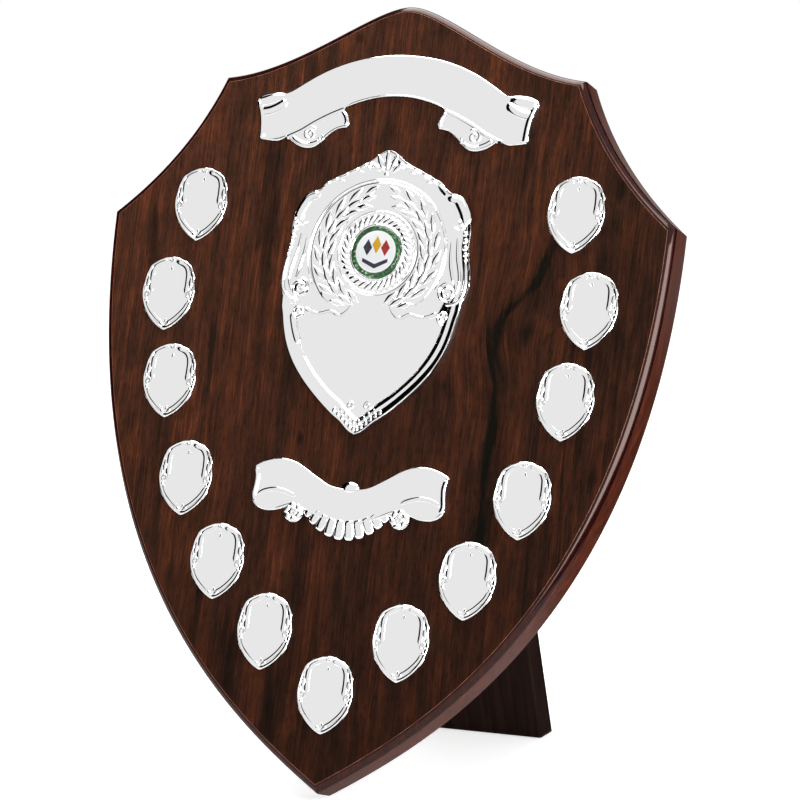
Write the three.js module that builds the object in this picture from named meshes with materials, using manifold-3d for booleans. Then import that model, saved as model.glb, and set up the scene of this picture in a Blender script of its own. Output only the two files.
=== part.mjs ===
// Perpetual award shield: a veneered board with a moulded edge, pressed metal trims on its face
// and a hinged wooden leg behind it. Millimetres, +Z up, the face looks towards -Y.
// The origin is the middle of the footprint, on the surface that the shield stands on.
import * as THREE from 'three';
import { mergeVertices } from 'three/addons/utils/BufferGeometryUtils.js';
import Module from 'manifold-3d';

const wasm = await Module();
wasm.setup();

// Clearances shared by all pieces
const fitGap = 0.3;
const cutOverrun = 1;

// Board, measured on its face from the bottom tip
const leanAngle = THREE.MathUtils.degToRad(17.2);
const boardThickness = 19;
const apexHeight = 372.8;
const shoulderHalfWidth = 91.4;
const shoulderHeight = 336.9;
const earHalfWidth = 142.7;
const earHeight = 268.9;
const tipHeight = 0;
const backChamfer = 0.5;

// Handles of the three edge curves, as shares of the run and the rise between their ends
const flankHandleShares = [[0.352, 0.116], [0.989, 0.350]];
const hollowHandleShares = [[0.427, 0.268], [0.780, 0.594]];
const crestHandleShares = [[0.412, 0.120], [0.808, 1]];
const flankSteps = 20;
const hollowSteps = 9;
const crestSteps = 14;

// Moulded edge, from the face outwards: a quirk, an ovolo, a second quirk and the flat side
const mouldingWidth = 3.6;
const arrisRun = 0.25;
const arrisDrop = 0.9;
const quirkWidth = 0.55;
const quirkDepth = 0.5;
const filletWidth = 0.7;
const ovoloDepth = 3.1;
const ovoloSteps = 3;

// Pressed sheet of every metal trim
const sheetWall = 0.6;
const trimEdgeHeight = 0.7;

// Small side shields, in pairs from the top down, and one more above the tip
const sideHalfWidth = 14.4;
const sideHeight = 37;
const sidePanelHeight = 1.4;
const sideRimHeight = 2.1;
const sideRimInset = 1.3;
const sidePanelInset = 3.3;
const sideCentreShare = 0.524;
const sideOutlineShares = [
  [0, 1], [0.35, 0.975], [0.62, 0.918], [0.80, 0.862], [0.90, 0.784], [0.955, 0.676],
  [1, 0.554], [0.945, 0.378], [0.78, 0.257], [0.56, 0.146], [0.28, 0.054], [0, 0],
];
const sidePlaceShares = [
  [0.685, 0.7388], [0.766, 0.6174], [0.719, 0.5018], [0.610, 0.3756], [0.453, 0.2710], [0.246, 0.1866],
];
const lowestPlaceShare = 0.1137;

// Pins that hold the side shields
const pinHeadRadius = 0.9;
const pinHeadHeight = 0.5;
const pinShankRadius = 0.5;
const pinShankLength = 8;
const pinPointLength = 1.5;
const pinSides = 6;
const pinInsetFromTop = 6;
const pinInsetFromTip = 5;

// Large centre shield
const centreHalfWidth = 48.9;
const centreHeight = 139.2;
const centreTipShare = 0.4407;
const centreRimHeight = 4.4;
const centreRimInset = 3.2;
const centreCoveInset = 7;
const centreCoveHeight = 2.1;
const centrePanelInset = 8.2;
const centrePanelHeight = 2.6;
const centreMiddleShare = 0.54;
const centreOutlineShares = [
  [0, 1], [0.103, 0.971], [0.165, 0.964], [0.268, 0.946], [0.371, 0.929], [0.495, 0.907],
  [0.577, 0.889], [0.691, 0.857], [0.814, 0.843], [0.866, 0.814], [0.918, 0.771], [0.948, 0.736],
  [0.948, 0.664], [0.969, 0.621], [0.990, 0.586], [1, 0.536], [0.979, 0.493], [0.959, 0.471],
  [0.948, 0.436], [0.928, 0.407], [0.897, 0.357], [0.845, 0.300], [0.753, 0.239], [0.619, 0.179],
  [0.454, 0.121], [0.289, 0.071], [0.175, 0.043], [0.082, 0.014], [0, 0],
];

// Medallion on the centre shield: a printed disc with a clear dome, a rope ring and a bead ring
const medallionShare = 0.6386;
const discRadius = 12.5;
const discThickness = 0.8;
const domeHeight = 1.5;
const domeSteps = 4;
const domeSides = 32;
const seatThickness = 0.8;
const ropeTubeRadius = 2.5;
const ropeSides = 8;
const ringSteps = 36;
const beadRingRadius = 35;
const beadTubeRadius = 0.9;
const beadSides = 6;
const voluteRadius = 4.8;
const voluteHeight = 4.6;
const smallVoluteRadius = 3.4;
const volutePlaceShares = [[0.787, 0.500], [0.767, 0.420]];
const volutes = [voluteRadius, smallVoluteRadius];
const fanPetals = 5;
const fanPetalLength = 9;
const fanPetalWidth = 3.4;
const fanPetalHeight = 2.2;
const fanSpread = THREE.MathUtils.degToRad(110);

// Arched scroll above the centre shield
const archHalfWidth = 73.9;
const archHeight = 47.5;
const archFootShare = 0.8146;
const archPanelHeight = 2.3;
const archRows = [
  [0, 1, 0, 0.565], [0.136, 0.987, 0.136, 0.548], [0.273, 0.956, 0.273, 0.502],
  [0.409, 0.895, 0.364, 0.439], [0.546, 0.805, 0.477, 0.366], [0.682, 0.680, 0.573, 0.282],
  [0.778, 0.579, 0.628, 0.230], [0.846, 0.592, 0.750, 0.126], [0.914, 0.584, 0.819, 0.077],
  [0.969, 0.550, 0.887, 0.084], [1, 0.502, 0.941, 0.100],
];
const archTailShares = [
  [0.340, 0.390], [0.477, 0.380], [0.628, 0.245], [0.760, 0.135], [0.709, 0.077], [0.655, 0.025],
  [0.600, 0], [0.546, 0.021], [0.491, 0.084], [0.450, 0.146], [0.396, 0.205], [0.327, 0.224],
  [0.310, 0.262],
];
const archTailHeight = 2;
const archCurlRadius = 3.5;
const archCurlShare = [0.587, 0.157];
const lipRadius = 1.5;
const lipSides = 8;
const lipRowFromEnd = 1;

// Winged scroll below the centre shield, with a fluted fan under it
const wingHalfWidth = 50.4;
const wingHeight = 37.1;
const wingFootShare = 0.3074;
const wingPanelHeight = 2.3;
const wingRows = [
  [0, 0.670, 0, 0.228], [0.1, 0.665, 0.1, 0.236], [0.2, 0.692, 0.2, 0.268], [0.3, 0.759, 0.3, 0.322],
  [0.4, 0.836, 0.4, 0.357], [0.5, 0.920, 0.5, 0.375], [0.6, 0.976, 0.6, 0.357], [0.72, 1, 0.72, 0.322],
  [0.84, 0.979, 0.84, 0.303], [0.94, 0.912, 0.92, 0.327], [1, 0.869, 0.98, 0.375],
];
const rosetteRadius = 4.9;
const rosetteShare = [0.546, 0.295];
const wingFlutes = 9;
const fluteLength = 10;
const fluteWidth = 5.2;
const fluteHeight = 1.9;
const fluteRise = 8.6;
const fluteSpread = THREE.MathUtils.degToRad(64);
const wingKnobRadius = 4.4;
const wingKnobShare = 0.650;

// Double-sided tape behind the large trims
const tapeCornerRadius = 1.5;
const archTapeWidth = 20;
const archTapeHeight = 12;
const archTapeShare = [0.40, 0.70];
const archTapeTurn = THREE.MathUtils.degToRad(22);
const centreTapeWidth = 44;
const centreTapeHeight = 40;
const centreTapeShare = 0.38;
const wingTapeWidth = 16;
const wingTapeHeight = 6;
const wingTapeShare = 0.42;

// Leg
const legThickness = 16;
const legFootHalfWidth = 51.4;
const legTopHalfWidth = 44.5;
const footSetback = 145;
const hingeHeight = 228;
const legEdgeChamfer = 0.8;

// Butt hinge between the board and the leg
const hingeWidth = 50;
const leafLength = 22;
const leafThickness = 1.2;
const hingePinRadius = 1.2;
const knuckleWall = 1.1;
const knuckleGap = 0.4;
const middleKnuckleShare = 0.34;
const hingeSides = 12;
const screwHeadRadius = 2.6;
const screwShankRadius = 1.3;
const screwLength = 12;
const screwPointLength = 2.5;
const screwSides = 10;
const screwSpacing = 32;
const screwDropShare = 0.56;

// Places worked out from the sizes above
const centreTipHeight = centreTipShare * apexHeight;
const medallionHeight = centreTipHeight + medallionShare * centreHeight;
const archFootHeight = archFootShare * apexHeight;
const wingFootHeight = wingFootShare * apexHeight;
const knuckleRadius = hingePinRadius + fitGap + knuckleWall;
const hingeStandoff = knuckleRadius + fitGap;
const flankHandleRun = flankHandleShares[0][0] * earHalfWidth;
const flankHandleRise = flankHandleShares[0][1] * earHeight;
const tipDrop = mouldingWidth * Math.hypot(flankHandleRun, flankHandleRise) / flankHandleRun;
const pivotUpBoard = hingeHeight + tipDrop;
const pivotOffBoard = hingeStandoff + backChamfer;
const pivotBehindTip = pivotUpBoard * Math.sin(leanAngle) + pivotOffBoard * Math.cos(leanAngle);
const pivotAboveTip = pivotUpBoard * Math.cos(leanAngle) - pivotOffBoard * Math.sin(leanAngle);
const legReach = Math.hypot(footSetback - pivotBehindTip, pivotAboveTip);
const legFrontLength = Math.sqrt(legReach ** 2 - hingeStandoff ** 2);
const footSlope = Math.atan2(footSetback - pivotBehindTip, pivotAboveTip);
const legTilt = footSlope - Math.atan2(hingeStandoff, legFrontLength);
const openAngle = legTilt + leanAngle;

function material(color, roughness, metalness) {
  return new THREE.MeshStandardMaterial({ color, roughness, metalness });
}

const finishes = {
  veneer: material('#43241b', 0.4, 0),
  leg: material('#2a1a15', 0.5, 0),
  nickel: material('#e6e6e6', 0.15, 1),
  print: material('#2f7a34', 0.5, 0),
  dome: material('#f4f7f6', 0.05, 0),
  tape: material('#d8d8d4', 0.95, 0),
  steel: material('#b9b4a6', 0.35, 1),
};

function solidFrom(geometry) {
  const bare = geometry.index ? geometry.clone() : geometry;
  bare.deleteAttribute('normal');
  bare.deleteAttribute('uv');
  const merged = mergeVertices(bare);
  return new wasm.Manifold(new wasm.Mesh({
    numProp: 3,
    vertProperties: new Float32Array(merged.attributes.position.array),
    triVerts: new Uint32Array(merged.index.array),
  }));
}

function geometryFrom(solid) {
  const mesh = solid.getMesh();
  const geometry = new THREE.BufferGeometry();
  geometry.setAttribute('position', new THREE.BufferAttribute(new Float32Array(mesh.vertProperties), 3));
  geometry.setIndex(new THREE.BufferAttribute(new Uint32Array(mesh.triVerts), 1));
  geometry.computeVertexNormals();
  return geometry;
}

function place(geometry, x, y, z) {
  return geometry.translate(x, y, z);
}

// A solid of revolution about the board's normal
function turned(profile, sides) {
  const points = profile.map(([radius, z]) => new THREE.Vector2(radius, z));
  return new THREE.LatheGeometry(points, sides).rotateX(Math.PI / 2);
}

// Rings of equal count joined into one closed body, with a flat cap on the first and the last
function bodyFromRings(rings) {
  const count = rings[0].length;
  const positions = rings.flat().flatMap((p) => [p.x, p.y, p.z]);
  const index = [];
  for (let k = 0; k < rings.length - 1; k += 1) {
    for (let i = 0; i < count; i += 1) {
      const j = (i + 1) % count;
      const a = k * count + i;
      const b = k * count + j;
      index.push(a, b, b + count, a, b + count, a + count);
    }
  }
  const cap = (ring) => THREE.ShapeUtils.triangulateShape(ring.map((p) => new THREE.Vector2(p.x, p.y)), []);
  const last = (rings.length - 1) * count;
  cap(rings[0]).forEach(([a, b, c]) => index.push(a, c, b));
  cap(rings[rings.length - 1]).forEach(([a, b, c]) => index.push(last + a, last + b, last + c));
  const geometry = new THREE.BufferGeometry();
  geometry.setAttribute('position', new THREE.Float32BufferAttribute(positions, 3));
  geometry.setIndex(index);
  return geometry;
}

// Right half from the bottom up, then the mirrored left half from the top down
function mirrored(rightHalf) {
  const inner = rightHalf.filter((p) => p.x > 0).reverse();
  return [...rightHalf, ...inner.map((p) => new THREE.Vector2(-p.x, p.y))];
}

// Mitred offset of a closed outline that runs anticlockwise
function offsetOutline(outline, distance) {
  const count = outline.length;
  return outline.map((point, i) => {
    const before = outline[(i + count - 1) % count];
    const after = outline[(i + 1) % count];
    const edgeIn = point.clone().sub(before).normalize();
    const edgeOut = after.clone().sub(point).normalize();
    const normalIn = new THREE.Vector2(edgeIn.y, -edgeIn.x);
    const normalOut = new THREE.Vector2(edgeOut.y, -edgeOut.x);
    const mitre = normalIn.clone().add(normalOut).divideScalar(1 + normalIn.dot(normalOut));
    return point.clone().addScaledVector(mitre, distance);
  });
}

function curveBetween(start, end, handleShares) {
  const handles = handleShares.map(([run, rise]) => new THREE.Vector2(
    THREE.MathUtils.lerp(start.x, end.x, run),
    THREE.MathUtils.lerp(start.y, end.y, rise),
  ));
  return new THREE.CubicBezierCurve(start, handles[0], handles[1], end);
}

function boardFaceOutline() {
  const tip = new THREE.Vector2(0, tipHeight);
  const ear = new THREE.Vector2(earHalfWidth, earHeight);
  const shoulder = new THREE.Vector2(shoulderHalfWidth, shoulderHeight);
  const apex = new THREE.Vector2(0, apexHeight);
  const flank = curveBetween(tip, ear, flankHandleShares).getPoints(flankSteps);
  const hollow = curveBetween(ear, shoulder, hollowHandleShares).getPoints(hollowSteps);
  const crest = curveBetween(shoulder, apex, crestHandleShares).getPoints(crestSteps);
  return mirrored([...flank, ...hollow.slice(1), ...crest.slice(1)]);
}

// How far each line of the moulding stands out from the face's edge, and how deep it lies
function mouldingProfile() {
  const ovoloStart = arrisRun + quirkWidth;
  const ovoloWidth = mouldingWidth - filletWidth - ovoloStart;
  const lines = [[0, 0], [arrisRun, arrisDrop]];
  for (let i = 0; i <= ovoloSteps; i += 1) {
    const turn = (i / ovoloSteps) * Math.PI / 2;
    lines.push([ovoloStart + ovoloWidth * Math.sin(turn), arrisDrop + ovoloDepth * (1 - Math.cos(turn))]);
  }
  const sideTop = arrisDrop + ovoloDepth + quirkDepth;
  lines.push([mouldingWidth - filletWidth, sideTop]);
  lines.push([mouldingWidth, sideTop]);
  lines.push([mouldingWidth, boardThickness - backChamfer]);
  lines.push([mouldingWidth - backChamfer, boardThickness]);
  return lines;
}

function boardBlank() {
  const face = boardFaceOutline();
  const rings = mouldingProfile().map(([out, depth]) => (
    offsetOutline(face, out).map((p) => new THREE.Vector3(p.x, p.y, -depth))
  ));
  return bodyFromRings(rings.reverse());
}

// A pressed plate whose outline is seen whole from its middle: a thin skin with a raised rim
function pressedPlate(outline, middle, lines) {
  const ring = (inset, height) => outline.map((p) => {
    const reach = p.distanceTo(middle);
    const q = p.clone().sub(middle).multiplyScalar(1 - inset / reach).add(middle);
    return new THREE.Vector3(q.x, q.y, height);
  });
  return bodyFromRings(lines.map(([inset, height]) => ring(inset, height)));
}

function outlineFromShares(shares, halfWidth, height) {
  const downwards = shares.map(([across, up]) => new THREE.Vector2(across * halfWidth, up * height));
  return mirrored(downwards.reverse());
}

// Side shields and their pins: each shield is drawn about its own tip
function pinPlaces() {
  return [sideHeight - pinInsetFromTop, pinInsetFromTip];
}

function pinHole(y, radius, depth) {
  const profile = [[0, -depth], [radius, -depth], [radius, depth], [0, depth]];
  return solidFrom(place(turned(profile, pinSides), 0, y, 0));
}

function sideShieldGeometry() {
  const outline = outlineFromShares(sideOutlineShares, sideHalfWidth, sideHeight);
  const middle = new THREE.Vector2(0, sideHeight * sideCentreShare);
  const skin = pressedPlate(outline, middle, [
    [sideRimInset + sheetWall, sidePanelHeight - sheetWall],
    [sheetWall, 0],
    [0, 0],
    [0, trimEdgeHeight],
    [sideRimInset, sideRimHeight],
    [sidePanelInset, sidePanelHeight],
  ]);
  let solid = solidFrom(skin);
  pinPlaces().forEach((y) => {
    solid = solid.subtract(pinHole(y, pinShankRadius + fitGap, sideRimHeight + cutOverrun));
  });
  return geometryFrom(solid);
}

// The head sits just above the panel and the shank runs down through it into the board
function pinGeometry() {
  return turned([
    [0, -(pinShankLength + pinPointLength)],
    [pinShankRadius, -pinShankLength],
    [pinShankRadius, 0],
    [pinHeadRadius, 0],
    [pinHeadRadius, pinHeadHeight],
    [0, pinHeadHeight],
  ], pinSides);
}

function sideShieldTips() {
  const tips = [];
  sidePlaceShares.forEach(([across, up]) => {
    const y = up * apexHeight - sideHeight * sideCentreShare;
    tips.push([-across * earHalfWidth, y], [across * earHalfWidth, y]);
  });
  tips.push([0, lowestPlaceShare * apexHeight - sideHeight * sideCentreShare]);
  return tips;
}

// Rounded bosses, fans and rings that are pressed up from the large trims
function boss(radius, height, x, y) {
  const crown = radius * Math.SQRT1_2;
  const shoulder = height - (radius - crown);
  const profile = [[0, 0], [radius, 0], [radius, shoulder], [crown, height], [0, height]];
  return solidFrom(place(turned(profile, hingeSides), x, y, 0));
}

function ring(radius, tubeRadius, steps, sides, x, y, z) {
  return solidFrom(place(new THREE.TorusGeometry(radius, tubeRadius, sides, steps), x, y, z));
}

function petal(length, width, height, angle, x, y, z) {
  const ball = new THREE.SphereGeometry(1, 8, 5).scale(width / 2, length / 2, height);
  return solidFrom(place(ball.rotateZ(angle), x, y, z));
}

// Takes away whatever the rounded forms push down below a level
function slabBelow(level, reach) {
  return solidFrom(place(new THREE.BoxGeometry(2 * reach, 2 * reach, reach), 0, 0, level - reach / 2));
}

function fanOfPetals(x, y, z, pointUp) {
  const petals = [];
  for (let i = 0; i < fanPetals; i += 1) {
    const angle = (i / (fanPetals - 1) - 0.5) * fanSpread;
    const reach = fanPetalLength / 2;
    petals.push(petal(fanPetalLength, fanPetalWidth, fanPetalHeight, pointUp * -angle,
      x + reach * Math.sin(angle), y + pointUp * reach * Math.cos(angle), z));
  }
  return petals;
}

function centreShieldGeometry() {
  const outline = outlineFromShares(centreOutlineShares, centreHalfWidth, centreHeight);
  const middle = new THREE.Vector2(0, centreHeight * centreMiddleShare);
  let solid = solidFrom(pressedPlate(outline, middle, [
    [centreRimInset + sheetWall, centreCoveHeight - sheetWall],
    [sheetWall, 0],
    [0, 0],
    [0, trimEdgeHeight],
    [centreRimInset, centreRimHeight],
    [centreCoveInset, centreCoveHeight],
    [centrePanelInset, centrePanelHeight],
  ]));
  const medallionY = medallionHeight - centreTipHeight;
  const ropeRadius = discRadius + fitGap + ropeTubeRadius;
  const seatTop = centrePanelHeight + seatThickness;
  const seat = turned([[0, 0], [ropeRadius, 0], [ropeRadius, seatTop], [0, seatTop]], ringSteps);
  const raised = [
    solidFrom(place(seat, 0, medallionY, 0)),
    ring(ropeRadius, ropeTubeRadius, ringSteps, ropeSides, 0, medallionY, seatTop),
    ring(beadRingRadius, beadTubeRadius, ringSteps, beadSides, 0, medallionY, centrePanelHeight),
  ];
  volutePlaceShares.forEach(([across, up], i) => {
    [-1, 1].forEach((side) => {
      raised.push(boss(volutes[i], voluteHeight, side * across * centreHalfWidth, up * centreHeight));
    });
  });
  const petalFoot = centreHeight - fanPetalLength - trimEdgeHeight;
  raised.push(...fanOfPetals(0, petalFoot, centreCoveHeight, 1));
  raised.push(...fanOfPetals(0, fanPetalLength + trimEdgeHeight, centreCoveHeight, -1));
  raised.forEach((piece) => {
    solid = solid.add(piece.subtract(slabBelow(centreCoveHeight - sheetWall / 2, 2 * centreHeight)));
  });
  return geometryFrom(solid);
}

// A ribbon pressed from sheet: rows give its upper and lower edge from the middle to one end
function ribbon(rows, halfWidth, height, panelHeight) {
  const edgeInsetShare = 0.05;
  const across = [
    [0, 0], [0, trimEdgeHeight], [edgeInsetShare, panelHeight], [1 - edgeInsetShare, panelHeight],
    [1, trimEdgeHeight], [1, 0], [1 - edgeInsetShare, 0], [1 - 2 * edgeInsetShare, panelHeight - sheetWall],
    [2 * edgeInsetShare, panelHeight - sheetWall], [edgeInsetShare, 0],
  ];
  const bothWays = [...rows.slice(1).reverse().map(([ux, uy, lx, ly]) => [-ux, uy, -lx, ly]), ...rows];
  const sections = bothWays.map(([ux, uy, lx, ly]) => across.map(([share, z]) => new THREE.Vector3(
    THREE.MathUtils.lerp(ux, lx, share) * halfWidth,
    THREE.MathUtils.lerp(uy, ly, share) * height,
    z,
  )));
  const count = across.length;
  const positions = sections.flat().flatMap((p) => [p.x, p.y, p.z]);
  const index = [];
  for (let k = 0; k < sections.length - 1; k += 1) {
    for (let i = 0; i < count; i += 1) {
      const j = (i + 1) % count;
      const a = k * count + i;
      const b = k * count + j;
      index.push(a, b, b + count, a, b + count, a + count);
    }
  }
  const profile = across.map(([share, z]) => new THREE.Vector2(-share * height, z));
  const last = (sections.length - 1) * count;
  THREE.ShapeUtils.triangulateShape(profile, []).forEach(([a, b, c]) => {
    index.push(a, c, b, last + a, last + b, last + c);
  });
  const geometry = new THREE.BufferGeometry();
  geometry.setAttribute('position', new THREE.Float32BufferAttribute(positions, 3));
  geometry.setIndex(index);
  return solidFrom(geometry);
}

// The rolled lip near each end of a ribbon runs from its upper to its lower edge
function lip(row, halfWidth, height, side, z) {
  const [ux, uy, lx, ly] = row;
  const top = new THREE.Vector3(side * ux * halfWidth, uy * height, z);
  const foot = new THREE.Vector3(side * lx * halfWidth, ly * height, z);
  const length = top.distanceTo(foot);
  const rod = new THREE.CylinderGeometry(lipRadius, lipRadius, length, lipSides);
  rod.rotateZ(Math.atan2(foot.x - top.x, top.y - foot.y));
  return solidFrom(place(rod, (top.x + foot.x) / 2, (top.y + foot.y) / 2, z));
}

function flatPlate(points, height) {
  const shape = new THREE.Shape(points);
  return solidFrom(new THREE.ExtrudeGeometry(shape, { depth: height, bevelEnabled: false }));
}

function archedScrollGeometry() {
  let solid = ribbon(archRows, archHalfWidth, archHeight, archPanelHeight);
  [-1, 1].forEach((side) => {
    const tail = archTailShares.map(([across, up]) => (
      new THREE.Vector2(side * across * archHalfWidth, up * archHeight)
    ));
    const curlX = side * archCurlShare[0] * archHalfWidth;
    const curlY = archCurlShare[1] * archHeight;
    solid = solid.add(flatPlate(tail, archTailHeight));
    solid = solid.add(boss(archCurlRadius, archPanelHeight + sheetWall, curlX, curlY));
    const lipRow = archRows[archRows.length - 1 - lipRowFromEnd];
    solid = solid.add(lip(lipRow, archHalfWidth, archHeight, side, archPanelHeight - sheetWall));
  });
  return geometryFrom(solid);
}

function wingedScrollGeometry() {
  let solid = ribbon(wingRows, wingHalfWidth, wingHeight, wingPanelHeight);
  [-1, 1].forEach((side) => {
    const x = side * rosetteShare[0] * wingHalfWidth;
    const y = rosetteShare[1] * wingHeight;
    solid = solid.add(boss(rosetteRadius, wingPanelHeight + sheetWall, x, y));
    const lipRow = wingRows[wingRows.length - 1 - lipRowFromEnd];
    solid = solid.add(lip(lipRow, wingHalfWidth, wingHeight, side, wingPanelHeight - sheetWall));
  });
  for (let i = 0; i < wingFlutes; i += 1) {
    const swing = (i / (wingFlutes - 1)) * 2 - 1;
    const x = swing * fluteWidth * (wingFlutes - 1) / 2;
    const y = fluteLength / 2 + fluteRise * swing ** 2;
    const turn = swing * fluteSpread / 2;
    solid = solid.add(petal(fluteLength, fluteWidth, fluteHeight, turn, x, y, trimEdgeHeight));
  }
  const knobY = wingKnobShare * wingHeight;
  solid = solid.add(boss(wingKnobRadius, archPanelHeight - sheetWall, 0, knobY));
  return geometryFrom(solid.subtract(slabBelow(0, 2 * (wingHalfWidth + fluteLength))));
}

function tapeGeometry(width, height, thickness) {
  const shape = new THREE.Shape();
  const x = width / 2;
  const y = height / 2;
  const r = tapeCornerRadius;
  shape.moveTo(-x + r, -y);
  shape.lineTo(x - r, -y);
  shape.quadraticCurveTo(x, -y, x, -y + r);
  shape.lineTo(x, y - r);
  shape.quadraticCurveTo(x, y, x - r, y);
  shape.lineTo(-x + r, y);
  shape.quadraticCurveTo(-x, y, -x, y - r);
  shape.lineTo(-x, -y + r);
  shape.quadraticCurveTo(-x, -y, -x + r, -y);
  return new THREE.ExtrudeGeometry(shape, { depth: thickness, bevelEnabled: false, curveSegments: 2 });
}

function discGeometry() {
  return turned([[0, 0], [discRadius, 0], [discRadius, discThickness], [0, discThickness]], domeSides);
}

function domeGeometry() {
  const profile = [[0, 0]];
  for (let i = 0; i <= domeSteps; i += 1) {
    const turn = (i / domeSteps) * Math.PI / 2;
    profile.push([discRadius * Math.cos(turn), domeHeight * Math.sin(turn)]);
  }
  return turned(profile, domeSides);
}

// Leg, drawn folded flat: its pivot is the origin and it hangs down behind the board
function legGeometry() {
  const front = -hingeStandoff;
  const back = front - legThickness;
  const toe = -legFrontLength;
  const heel = toe - legThickness * Math.tan(legTilt);
  const bevelAt = (z) => (hingeStandoff - z * Math.cos(openAngle) - fitGap) / Math.sin(openAngle);
  const side = new THREE.Shape([
    new THREE.Vector2(-front, toe),
    new THREE.Vector2(-back, heel),
    new THREE.Vector2(-back, bevelAt(back)),
    new THREE.Vector2(-front, bevelAt(front)),
  ]);
  const width = 2 * legFootHalfWidth;
  const slab = new THREE.ExtrudeGeometry(side, { depth: width, bevelEnabled: false });
  slab.translate(0, 0, -width / 2).rotateY(Math.PI / 2);
  const topY = bevelAt(back);
  const outline = [
    new THREE.Vector2(-legFootHalfWidth, heel - cutOverrun),
    new THREE.Vector2(legFootHalfWidth, heel - cutOverrun),
    new THREE.Vector2(legTopHalfWidth, topY + cutOverrun),
    new THREE.Vector2(-legTopHalfWidth, topY + cutOverrun),
  ];
  const taper = new THREE.ExtrudeGeometry(new THREE.Shape(outline), {
    depth: legThickness - 2 * legEdgeChamfer,
    bevelThickness: legEdgeChamfer,
    bevelSize: legEdgeChamfer,
    bevelOffset: -legEdgeChamfer,
    bevelSegments: 1,
  });
  taper.translate(0, 0, back + legEdgeChamfer);
  let solid = solidFrom(slab).intersect(solidFrom(taper));
  screwXs().forEach((x) => {
    const pilot = place(screwBore(screwLength + fitGap), x, -leafLength * screwDropShare, -leafInnerFace());
    solid = solid.subtract(solidFrom(pilot));
  });
  return geometryFrom(solid);
}

// Screws stand with their heads level with the leaf's inner face and run in along -Z
function leafInnerFace() {
  return knuckleRadius - leafThickness;
}

function screwXs() {
  return [-screwSpacing / 2, screwSpacing / 2];
}

function screwGeometry() {
  return turned([
    [0, 0],
    [screwShankRadius / 2, screwPointLength / 2],
    [screwShankRadius, screwPointLength],
    [screwShankRadius, screwLength - leafThickness],
    [screwHeadRadius, screwLength],
    [0, screwLength],
  ], screwSides).translate(0, 0, -screwLength);
}

function screwBore(depth) {
  const headRadius = screwHeadRadius + fitGap;
  const shankRadius = screwShankRadius + fitGap;
  return turned([
    [0, -depth],
    [shankRadius, -depth],
    [shankRadius, -leafThickness],
    [headRadius, 0],
    [headRadius, cutOverrun],
    [0, cutOverrun],
  ], screwSides);
}

function tube(radius, from, to) {
  const length = to - from;
  const rod = new THREE.CylinderGeometry(radius, radius, length, hingeSides).rotateZ(Math.PI / 2);
  return solidFrom(rod.translate((from + to) / 2, 0, 0));
}

// One leaf, drawn for the board: its plate lies on the +Z side of the pin and runs down
function leafGeometry(knuckles) {
  const plate = new THREE.BoxGeometry(hingeWidth, leafLength, leafThickness);
  plate.translate(0, -leafLength / 2, knuckleRadius - leafThickness / 2);
  let solid = solidFrom(plate);
  const pivotRoom = 2 * (knuckleRadius + fitGap);
  const room = new THREE.BoxGeometry(hingeWidth + cutOverrun, pivotRoom, 2 * pivotRoom);
  solid = solid.subtract(solidFrom(room));
  knuckles.forEach(([from, to]) => {
    const neck = new THREE.BoxGeometry(to - from, 2 * knuckleRadius, leafThickness);
    neck.translate((from + to) / 2, -knuckleRadius, knuckleRadius - leafThickness / 2);
    solid = solid.add(solidFrom(neck)).add(tube(knuckleRadius, from, to));
  });
  solid = solid.subtract(tube(hingePinRadius + fitGap, -hingeWidth, hingeWidth));
  screwXs().forEach((x) => {
    const bore = screwBore(leafThickness + cutOverrun).rotateY(Math.PI);
    solid = solid.subtract(solidFrom(place(bore, x, -leafLength * screwDropShare, leafInnerFace())));
  });
  return geometryFrom(solid);
}

function hingePinGeometry() {
  const rod = new THREE.CylinderGeometry(hingePinRadius, hingePinRadius, hingeWidth, hingeSides);
  return rod.rotateZ(Math.PI / 2);
}

function boardGeometry() {
  let solid = solidFrom(boardBlank());
  sideShieldTips().forEach(([x, y]) => {
    pinPlaces().forEach((rise) => {
      const depth = pinShankLength + pinPointLength + fitGap;
      const hole = pinHole(y + rise, pinShankRadius + fitGap, depth - sidePanelHeight).translate([x, 0, 0]);
      solid = solid.subtract(hole);
    });
  });
  screwXs().forEach((x) => {
    const pilot = screwBore(screwLength + fitGap).rotateY(Math.PI);
    const z = -boardThickness - hingeStandoff + leafInnerFace();
    solid = solid.subtract(solidFrom(place(pilot, x, hingeHeight - leafLength * screwDropShare, z)));
  });
  return geometryFrom(solid);
}

function addMesh(group, name, geometry, finish) {
  const mesh = new THREE.Mesh(geometry, finish);
  mesh.name = name;
  group.add(mesh);
  return mesh;
}

const twoDigits = (number) => String(number).padStart(2, '0');

// Everything fixed to the board is drawn in the board's own frame: x across, y up the face, z out of it
const board = new THREE.Group();
addMesh(board, 'shield_board', boardGeometry(), finishes.veneer);

const trims = new THREE.Group();
trims.position.z = fitGap;
board.add(trims);

sideShieldTips().forEach(([x, y], i) => {
  const number = twoDigits(i + 1);
  addMesh(trims, `side_shield_${number}`, sideShieldGeometry(), finishes.nickel).position.set(x, y, 0);
  pinPlaces().forEach((rise, k) => {
    const name = `shield_pin_${number}_${k ? 'lower' : 'upper'}`;
    const pin = addMesh(trims, name, pinGeometry(), finishes.nickel);
    pin.position.set(x, y + rise, sidePanelHeight + fitGap);
  });
});

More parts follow.
